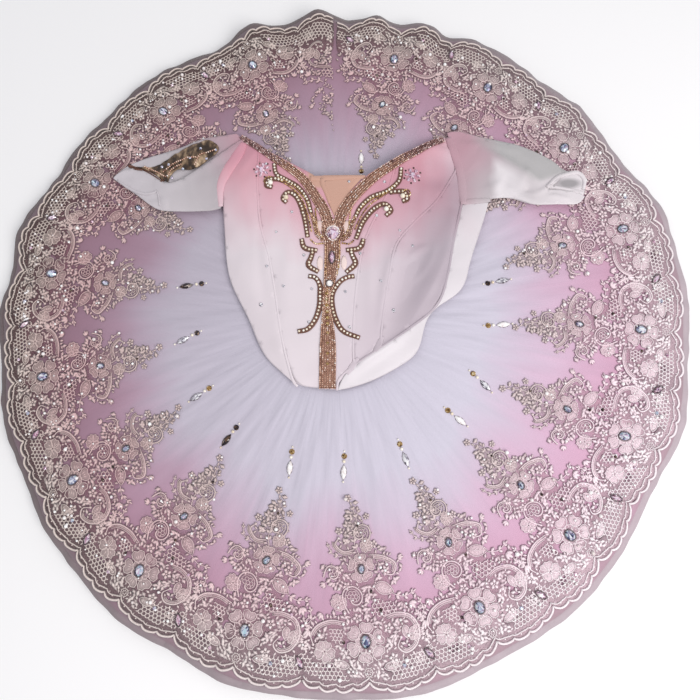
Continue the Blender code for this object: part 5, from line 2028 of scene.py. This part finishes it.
# %% Scrolls
SCROLLS = {
    "scroll_upper_left": ((-91, 230), (-87, 212), (-72, 201), (-54, 188), (-40, 168), (-34, 146)),
    "scroll_curl_left": ((-92, 190), (-101, 193), (-98, 203), (-85, 203), (-76, 199)),
    "scroll_second_left": ((-70, 164), (-76, 171), (-68, 181), (-54, 170), (-44, 142), (-38, 108)),
    "scroll_middle_left": ((-47, 106), (-42, 92), (-24, 87)),
    "scroll_hook_left": ((-30, 86), (-33, 76), (-36, 65), (-22, 55)),
    "scroll_lower_left": ((-36, 49), (-27, 47), (-20, 37), (-19, 20), (-20, 2), (-26, -16),
                          (-36, -28), (-50, -31)),
    "scroll_upper_right": ((98, 218), (94, 196), (76, 179), (54, 170), (38, 154), (30, 138)),
    "scroll_curl_right": ((98, 163), (106, 167), (102, 178), (91, 179), (80, 177)),
    "scroll_second_right": ((74, 140), (82, 149), (72, 159), (56, 150), (41, 130), (31, 104)),
    "scroll_middle_right": ((42, 104), (36, 90), (17, 87)),
    "scroll_hook_right": ((23, 86), (27, 77), (30, 66), (17, 53)),
    "scroll_lower_right": ((29, 48), (18, 46), (7, 38), (-2, 22), (-2, 4), (3, -15), (14, -32),
                           (36, -41)),
}
SCROLL_HALF = 4.1  # mm
SCROLL_TIP = 0.66
PEARL_PITCH = 5.2
PEARL_SIZE = 1.75
for name, rows in SCROLLS.items():
    path = spaced(rows, 2.5)
    swell = SCROLL_HALF * (SCROLL_TIP + (1 - SCROLL_TIP)
                           * np.sin(np.linspace(0.12, 0.88, len(path)) * np.pi))
    band = ribbon(name + "_band", path, swell, GROOVED, band_dark)
    pearls = spaced(rows, PEARL_PITCH)[:, :2]
    pearls = (pearls[1:] + pearls[:-1]) / 2
    pearls = copies(name + "_pearls", PEARL,
                    on_line(pearls, 0, 0.6, (PEARL_SIZE,) * 3, 0.25), pearl_cream)
    dressed(joined(name + "_beaded", [band, pearls]), "beaded_bronze", name)

# %% [markdown]
# Between the pearl lines and the neck trims lie finer lines of gold beads, which tie the
# ornament into one piece. They are only beads on the satin, one after another.

# %% Links round the jewel
LINKS = (
    # x, y, half width, in mm
    ((-14, 144, 6.5), (-15, 130, 3.6), (-14, 116, 4.6), (-9, 105, 6)),
    ((12, 145, 6.5), (11.5, 130, 3.6), (10, 116, 4.6), (4, 105, 6)),
    ((-33, 145, 2.6), (-28, 128, 3.4), (-24, 112, 3.4), (-16, 103, 2.6)),
    ((30, 138, 2.6), (24, 124, 3.4), (20, 110, 3.4), (11, 103, 2.6)),
)
link_pieces = bands("link", LINKS, 2.5, BAND, band_dark)
for order, rows in enumerate(LINKS):
    lane = spaced(rows, 2.5)
    places = []
    for share in (-0.7, 0, 0.7):
        places += on_line(lane, lane[:, 2] * share, 0.7, (1.15, 1, 1.15), 0.2)
    link_pieces.append(copies(f"link_seeds_{order}", SEED_BEAD, places, bead_rose))
dressed(joined("links_beaded", link_pieces), "braid_bronze")

# %% Bead lines
GOLD_LINES = (
    ((-84, 205), (-62, 191), (-44, 170), (-33, 142), (-26, 128)),
    ((-80, 200), (-60, 184), (-47, 166), (-38, 140), (-33, 118)),
    ((-28, 152), (-26, 136), (-24, 120), (-17, 108)),
    ((-33, 104), (-27, 98), (-16, 98)),
    ((-30, 139), (-29, 122), (-22, 110)),
    ((90, 192), (70, 175), (50, 164), (34, 147), (24, 128)),
    ((86, 186), (66, 169), (52, 158), (40, 142), (30, 120)),
    ((24, 152), (22, 136), (20, 120), (13, 108)),
    ((28, 102), (22, 97), (12, 98)),
    ((-13, 101), (-12, 84), (-12, 66), (-11, 50)),
    ((8, 101), (8, 84), (7, 66), (4, 50)),
    ((-100, 196), (-105, 200), (-101, 207), (-93, 207)),
    ((103, 171), (110, 173), (108, 181), (99, 180)),
    ((-8.5, 30), (-10.5, 12), (-10, -8)),
)
BEAD_PITCH = 2.9
places = []
for rows in GOLD_LINES:
    places += on_line(spaced(rows, BEAD_PITCH), 0, 0.15, (1.45, 1.35, 1.45), 0.15)
sewn("gold_bead_lines", SEED_BEAD, places, bead_gold, "beaded_bronze")
print(len(places), "gold beads")

# %% [markdown]
# ## Seams
# The panels are joined by flat seams, which show as thin welts of the same satin; their row of
# stitches isn't modelled. A welt also bridges the hair's breadth between two panels.

# %% Seam welts
SEAMS = (
    ((-116, 262), (-115, 190), (-108, 131), (-94, 82), (-84, 28), (-73, -36), (-58, -94),
     (-50, -106)),
    ((92, 236), (78, 180), (55, 130), (41, 93), (33, 45), (28, -10), (27, -60), (28, -78)),
    ((182, 222), (150, 168), (112, 128), (88, 95), (78, 50), (70, 0), (66, -30), (64, -54)),
    ((186, 165), (179, 137), (170, 99), (161, 54), (145, 10), (102, -28), (58, -58), (28, -78),
     (8, -96), (4, -112)),
)
PATCHES = (
    # where three panels meet: x, y and half the width in mm
    ((68, -38, 2.5), (62, -50, 4.5), (55, -62, 2.5)),
    ((34, -68, 2.5), (26, -79, 4.5), (18, -90, 2.5)),
)
WELT = ((-1, -0.30), (-0.8, 0.06), (0, 0.22), (0.8, 0.06), (1, -0.30))
WELT_HALF = 1.7  # mm
seams = [[(x, y, WELT_HALF) for x, y in rows] for rows in SEAMS]
welts = bands("welt", seams, 3, WELT, satin, bridging=True)
welts += bands("patch", PATCHES, 2, WELT, satin, bridging=True)
dressed(joined("seam_welts", welts), "satin_ombre")

# %% [markdown]
# The sleeves hang on the armholes by a soft turned edge. Laid flat it is a rounded strip that
# runs from the satin down onto the chiffon: of chiffon on the right, of the satin on the left.

# %% Armholes
ARMHOLES_RIGHT = (
    ((170, 274, 4.5), (177, 252, 6.5), (183, 231, 6.5), (187, 208, 6.5), (188, 186, 6.5),
     (189, 163, 5)),
    ((190, 167, 4.5), (208, 168.5, 4.5), (228, 170, 3)),
)
ARMHOLE_LEFT = ((-140, 272, 5.5), (-150, 250, 9), (-163, 227, 8.5), (-172, 206, 7),
                (-173, 188, 5), (-171, 166, 3.5))
TURNED = ((-1, -0.8), (-0.85, 0.2), (-0.3, 0.8), (0.3, 0.8), (0.85, 0.2), (1, -0.8))
on_cloth = surface_of([*panels, insert, *sleeves.values()])
edges = bands("armhole_right", ARMHOLES_RIGHT, 4, TURNED, chiffon, under=on_cloth,
              bridging=True)
edges += bands("armhole_left", [ARMHOLE_LEFT], 4, TURNED, satin, under=on_cloth, bridging=True)
dressed(joined("armhole_edges", edges), "satin_ombre")

# %% Rolled edges and creases of the sleeves
ROLLS = (
    # x, y and half the width in mm: the right sleeve's mouth, then two creases of the left one
    ((311, 189, 2), (326, 204, 3), (343, 212, 3.4), (360, 214, 3.4), (369, 203, 3.2),
     (366, 186, 2.5)),
    ((311, 189, 2), (326, 191, 3), (346, 187, 3.2), (366, 181, 3)),
    ((-333, 215, 1.5), (-316, 202, 2.2), (-295, 192, 2.4), (-279, 191, 2.2), (-270, 195, 1.4)),
    ((-270, 195, 1.2), (-266, 182, 1.6), (-264, 170, 1.2)),
)
ROLLED = ((-1, -0.4), (-0.8, 0.9), (-0.3, 1.6), (0.3, 1.6), (0.8, 0.9), (1, -0.4))
rolls = bands("roll", ROLLS, 3, ROLLED, chiffon, under=on_cloth)
dressed(joined("sleeve_rolls", rolls), "chiffon")

# %% [markdown]
# ## Jewels
# The centre stone is a rose drop with its point down, in a rim of small white stones, between
# two pale petals of satin. Below it sit a slim navette and a round white stone on the braid. The
# models are the ones of the lace, so each set is only a stone and its setting, joined.


# %% Jewels
def at_bodice(x, y, turn, wide, long, tall, lift=0):
    return (x * MM, y * MM, on_bodice(x * MM, y * MM) + ON_PANEL + lift * MM, turn,
            wide * MM, long * MM, tall * MM)


def ring_places(x, y, wide, long, count, size, lift):
    """Small stones round a drop whose point is down."""
    places = []
    for spin in np.arange(count) * 2 * np.pi / count:
        across, up = math.cos(spin), math.sin(spin)
        if up < 0:
            across *= (1 - abs(up) ** 1.5 + 0.02) ** 0.45
        places.append(at_bodice(x + across * wide, y + up * long, random.uniform(0, 360),
                                size, size, size * 1.1, lift))
    return places


BRAID_TOP = 1.9  # mm from the satin to the top of the seed beads
jewel = copies("jewel_stone", DROP_STONE, [at_bodice(-2, 113.5, 0, 8.4, 10, 8, 0.6)],
               crystal_rose)
rim = copies("jewel_rim", ROUND_STONE, ring_places(-2, 113.3, 9.8, 11.8, 26, 1.5, 0.4),
             sequin_white)
dressed(joined("jewel_centre_set", [jewel, rim]), "crystal_pink", "jewel_centre")
for node, model, finish, place, turn, sizes, rim_sizes in (
        ("jewel_navette", NAVETTE, crystal_rose, (-3, 76), 0, (3.6, 8.6, 6.4), (4.2, 9.2, 6)),
        ("jewel_round", BIG_STONE, sequin_white, (-6, 37), 12, (4.4, 4.4, 6.6), (4.9, 4.9, 5.2))):
    stone = copies(node + "_stone", model, [at_bodice(*place, turn, *sizes, BRAID_TOP)], finish)
    setting = copies(node + "_collar", COLLAR, [at_bodice(*place, 0, *rim_sizes, BRAID_TOP)],
                     setting_metal)
    dressed(joined(node + "_set", [stone, setting]), "crystal_pink", node)

petal_satin = toned_finish("petal_satin", (
    (0, 226, 196, 190), (1, 244, 224, 220),
), 0.4, Sheen_Weight=0.4)
sewn("satin_petals", SATIN_PETAL, [
    at_bodice(-21, 126, 8, 5.2, 9.5, 2.6), at_bodice(17, 125, -8, 5.2, 9.5, 2.6),
    at_bodice(-20, 68, 0, 4.6, 11, 1.4), at_bodice(14, 68, 0, 4.2, 11, 1.4),
], petal_satin, "satin_ombre")

# %% Gold stones down the braid and brilliants on the satin
gold_stones = [at_bodice(-10 + k * 0.35, 22 - k * 8.6, 45, 2.9, 2.9, 4.6, BRAID_TOP - 0.6)
               for k in range(6)]
gold_stones += [at_bodice(-8 - k * 0.1, -34 - k * 14, 0, 2.2, 2.2, 3.4, BRAID_TOP - 0.6)
                for k in range(4)]
sewn("braid_stones", ROUND_STONE, gold_stones, stone_gold)

LOOSE = (
    # x, y and radius in mm
    (-103, 10, 3), (83, -1, 3), (-71, 35, 2.3), (-31, 30, 2), (16, 25, 2.3), (66, 41, 2.3),
    (37, 82, 2.4), (-43, 81, 2.2), (-62, 149, 2.3), (-34, -18, 2.4), (22, -26, 2.4),
    (61, 141, 2.5), (73, 195, 2.4), (21, 196, 2.2), (-103, 230, 2.4), (-84, 118, 2),
    (112, 96, 2.2), (94, 118, 2), (-96, 66, 2.2),
)
loose = [at_bodice(x, y, random.uniform(0, 90), size, size, size * 1.5) for x, y, size in LOOSE]
sewn("loose_brilliants", ROUND_STONE, loose, crystal_clear)

# %% Crystal flowers and curl pearls
flower_stones, dark_stones = [], []
for x, y, turn in ((-109, 220, 20), (114, 205, -10)):
    flower_stones.append(at_bodice(x, y, turn, 4.6, 5.6, 6.4))
    for k in range(6):
        spin = math.radians(turn + 60 * k)
        flower_stones.append(at_bodice(x + 8.6 * math.cos(spin), y + 8.6 * math.sin(spin),
                                       turn + 60 * k - 90, 2.4, 3.3, 4.2))
        spin += math.radians(30)
        dark_stones.append(at_bodice(x + 12.5 * math.cos(spin), y + 12.5 * math.sin(spin),
                                     0, 1.5, 1.5, 2.4))
sewn("flower_stones", BIG_STONE, flower_stones, crystal_rose)
curl_pearls = [at_bodice(x, y, 0, 3.9, 3.9, 3.9, 0.4)
               for x, y in ((-95, 197), (-71, 172), (99, 171), (75, 150))]
sewn("curl_pearls", PEARL, curl_pearls, pearl_cream, "beaded_bronze")
sewn("small_dark_stones", ROUND_STONE, dark_stones, stone_dark)
print("stones on the bodice:", len(gold_stones) + len(loose) + len(flower_stones))

# %% [markdown]
# ## The armlet
# A band of crumpled bronze cloth with beaded applique, pushed half way out of the left sleeve.
# Its solid gives the outline and the heap; the crumples are noise of two sizes on a finer copy.
# Its colour is near black in the hollows of a finer noise and pale on its crests, painted shade
# and highlight of small crumples over the cloth's own brown bronze, with a speckled painted sheen.

# %% Armlet
ARMLET_LEVELS = 3
ARMLET_WALL = 0.0010
crumple = Finish("armlet_bronze", roughness=0.48, Metallic=0.30)
folds = crumple.noise(1, 4, crumple.stretched(95, 48, 60))
sheen = crumple.noise(160, 3)
# the ramp paints shade in the hollows of this noise and highlights on its crests; the sheen noise
# paints a speckled sheen into the colour
crumple.colour(crumple.ramp(folds, (
    (0, 34, 25, 22), (0.43, 60, 46, 38), (0.51, 102, 81, 63), (0.59, 156, 131, 105),
    (0.70, 208, 186, 160))), sheen, 0.5)
crumple.bump(sheen, 0.0015, 0.9)
armlet = upper_sheet("armlet_left", "armlet_crumpled", crumple, ARMLET_LEVELS)
points = rumpled(points_of(armlet), 0.016, 2.6 * MM, 5)
move_to(armlet, rumpled(points, 0.007, 1.3 * MM, 6))
shell(armlet, ARMLET_WALL)
dressed(armlet, "beaded_bronze", "armlet_left")

# %% Beads and stones of the armlet
ARMLET_LINES = (
    ((-292, 236), (-272, 226), (-257, 218), (-250, 230), (-236, 238)),
    ((-262, 226), (-246, 240), (-228, 246), (-212, 246)),
    ((-214, 236), (-206, 250), (-196, 256), (-186, 262)),
)
ARMLET_STONES = ((-249, 216), (-184, 262), (-221, 246), (-206, 262), (-233, 231), (-265, 234),
                 (-255, 238), (-197, 246))
on_armlet = surface_of([armlet])


def set_on(surface, spots, size, tall):
    """Places for round copies at spots on a surface, all in mm."""
    return [(x * MM, y * MM, surface(x * MM, y * MM), 0, size * MM, size * MM, tall * MM)
            for x, y in spots]


spots = np.vstack([spaced(rows, 3.2) for rows in ARMLET_LINES])
sewn("armlet_beads", SEED_BEAD, set_on(on_armlet, spots, 1.5, 1.5), bead_rose, "beaded_bronze")
sewn("armlet_stones", ROUND_STONE, set_on(on_armlet, ARMLET_STONES, 2.2, 3), crystal_coated)

# %% The armlet's strip on the sleeve
# Beyond the heap the armlet's beaded edge runs on along the sleeve's mouth as a dark strip.
on_sleeve = surface_of([sleeves["sleeve_left_over"], sleeves["sleeve_left_under"]])
STRIP = ((-318, 240, 1.6), (-306, 234, 2.6), (-290, 231, 3.4), (-274, 223, 4.6), (-262, 212, 3.6))
path = spaced(STRIP, 2.4)
spots = np.vstack([path[:, :2] + beside(path)[1] * path[:, 2:] * share
                   for share in (-0.8, 0, 0.8)])
sewn("armlet_strip", SEED_BEAD, set_on(on_sleeve, spots, 1.5, 1.5), band_dark, "beaded_bronze")
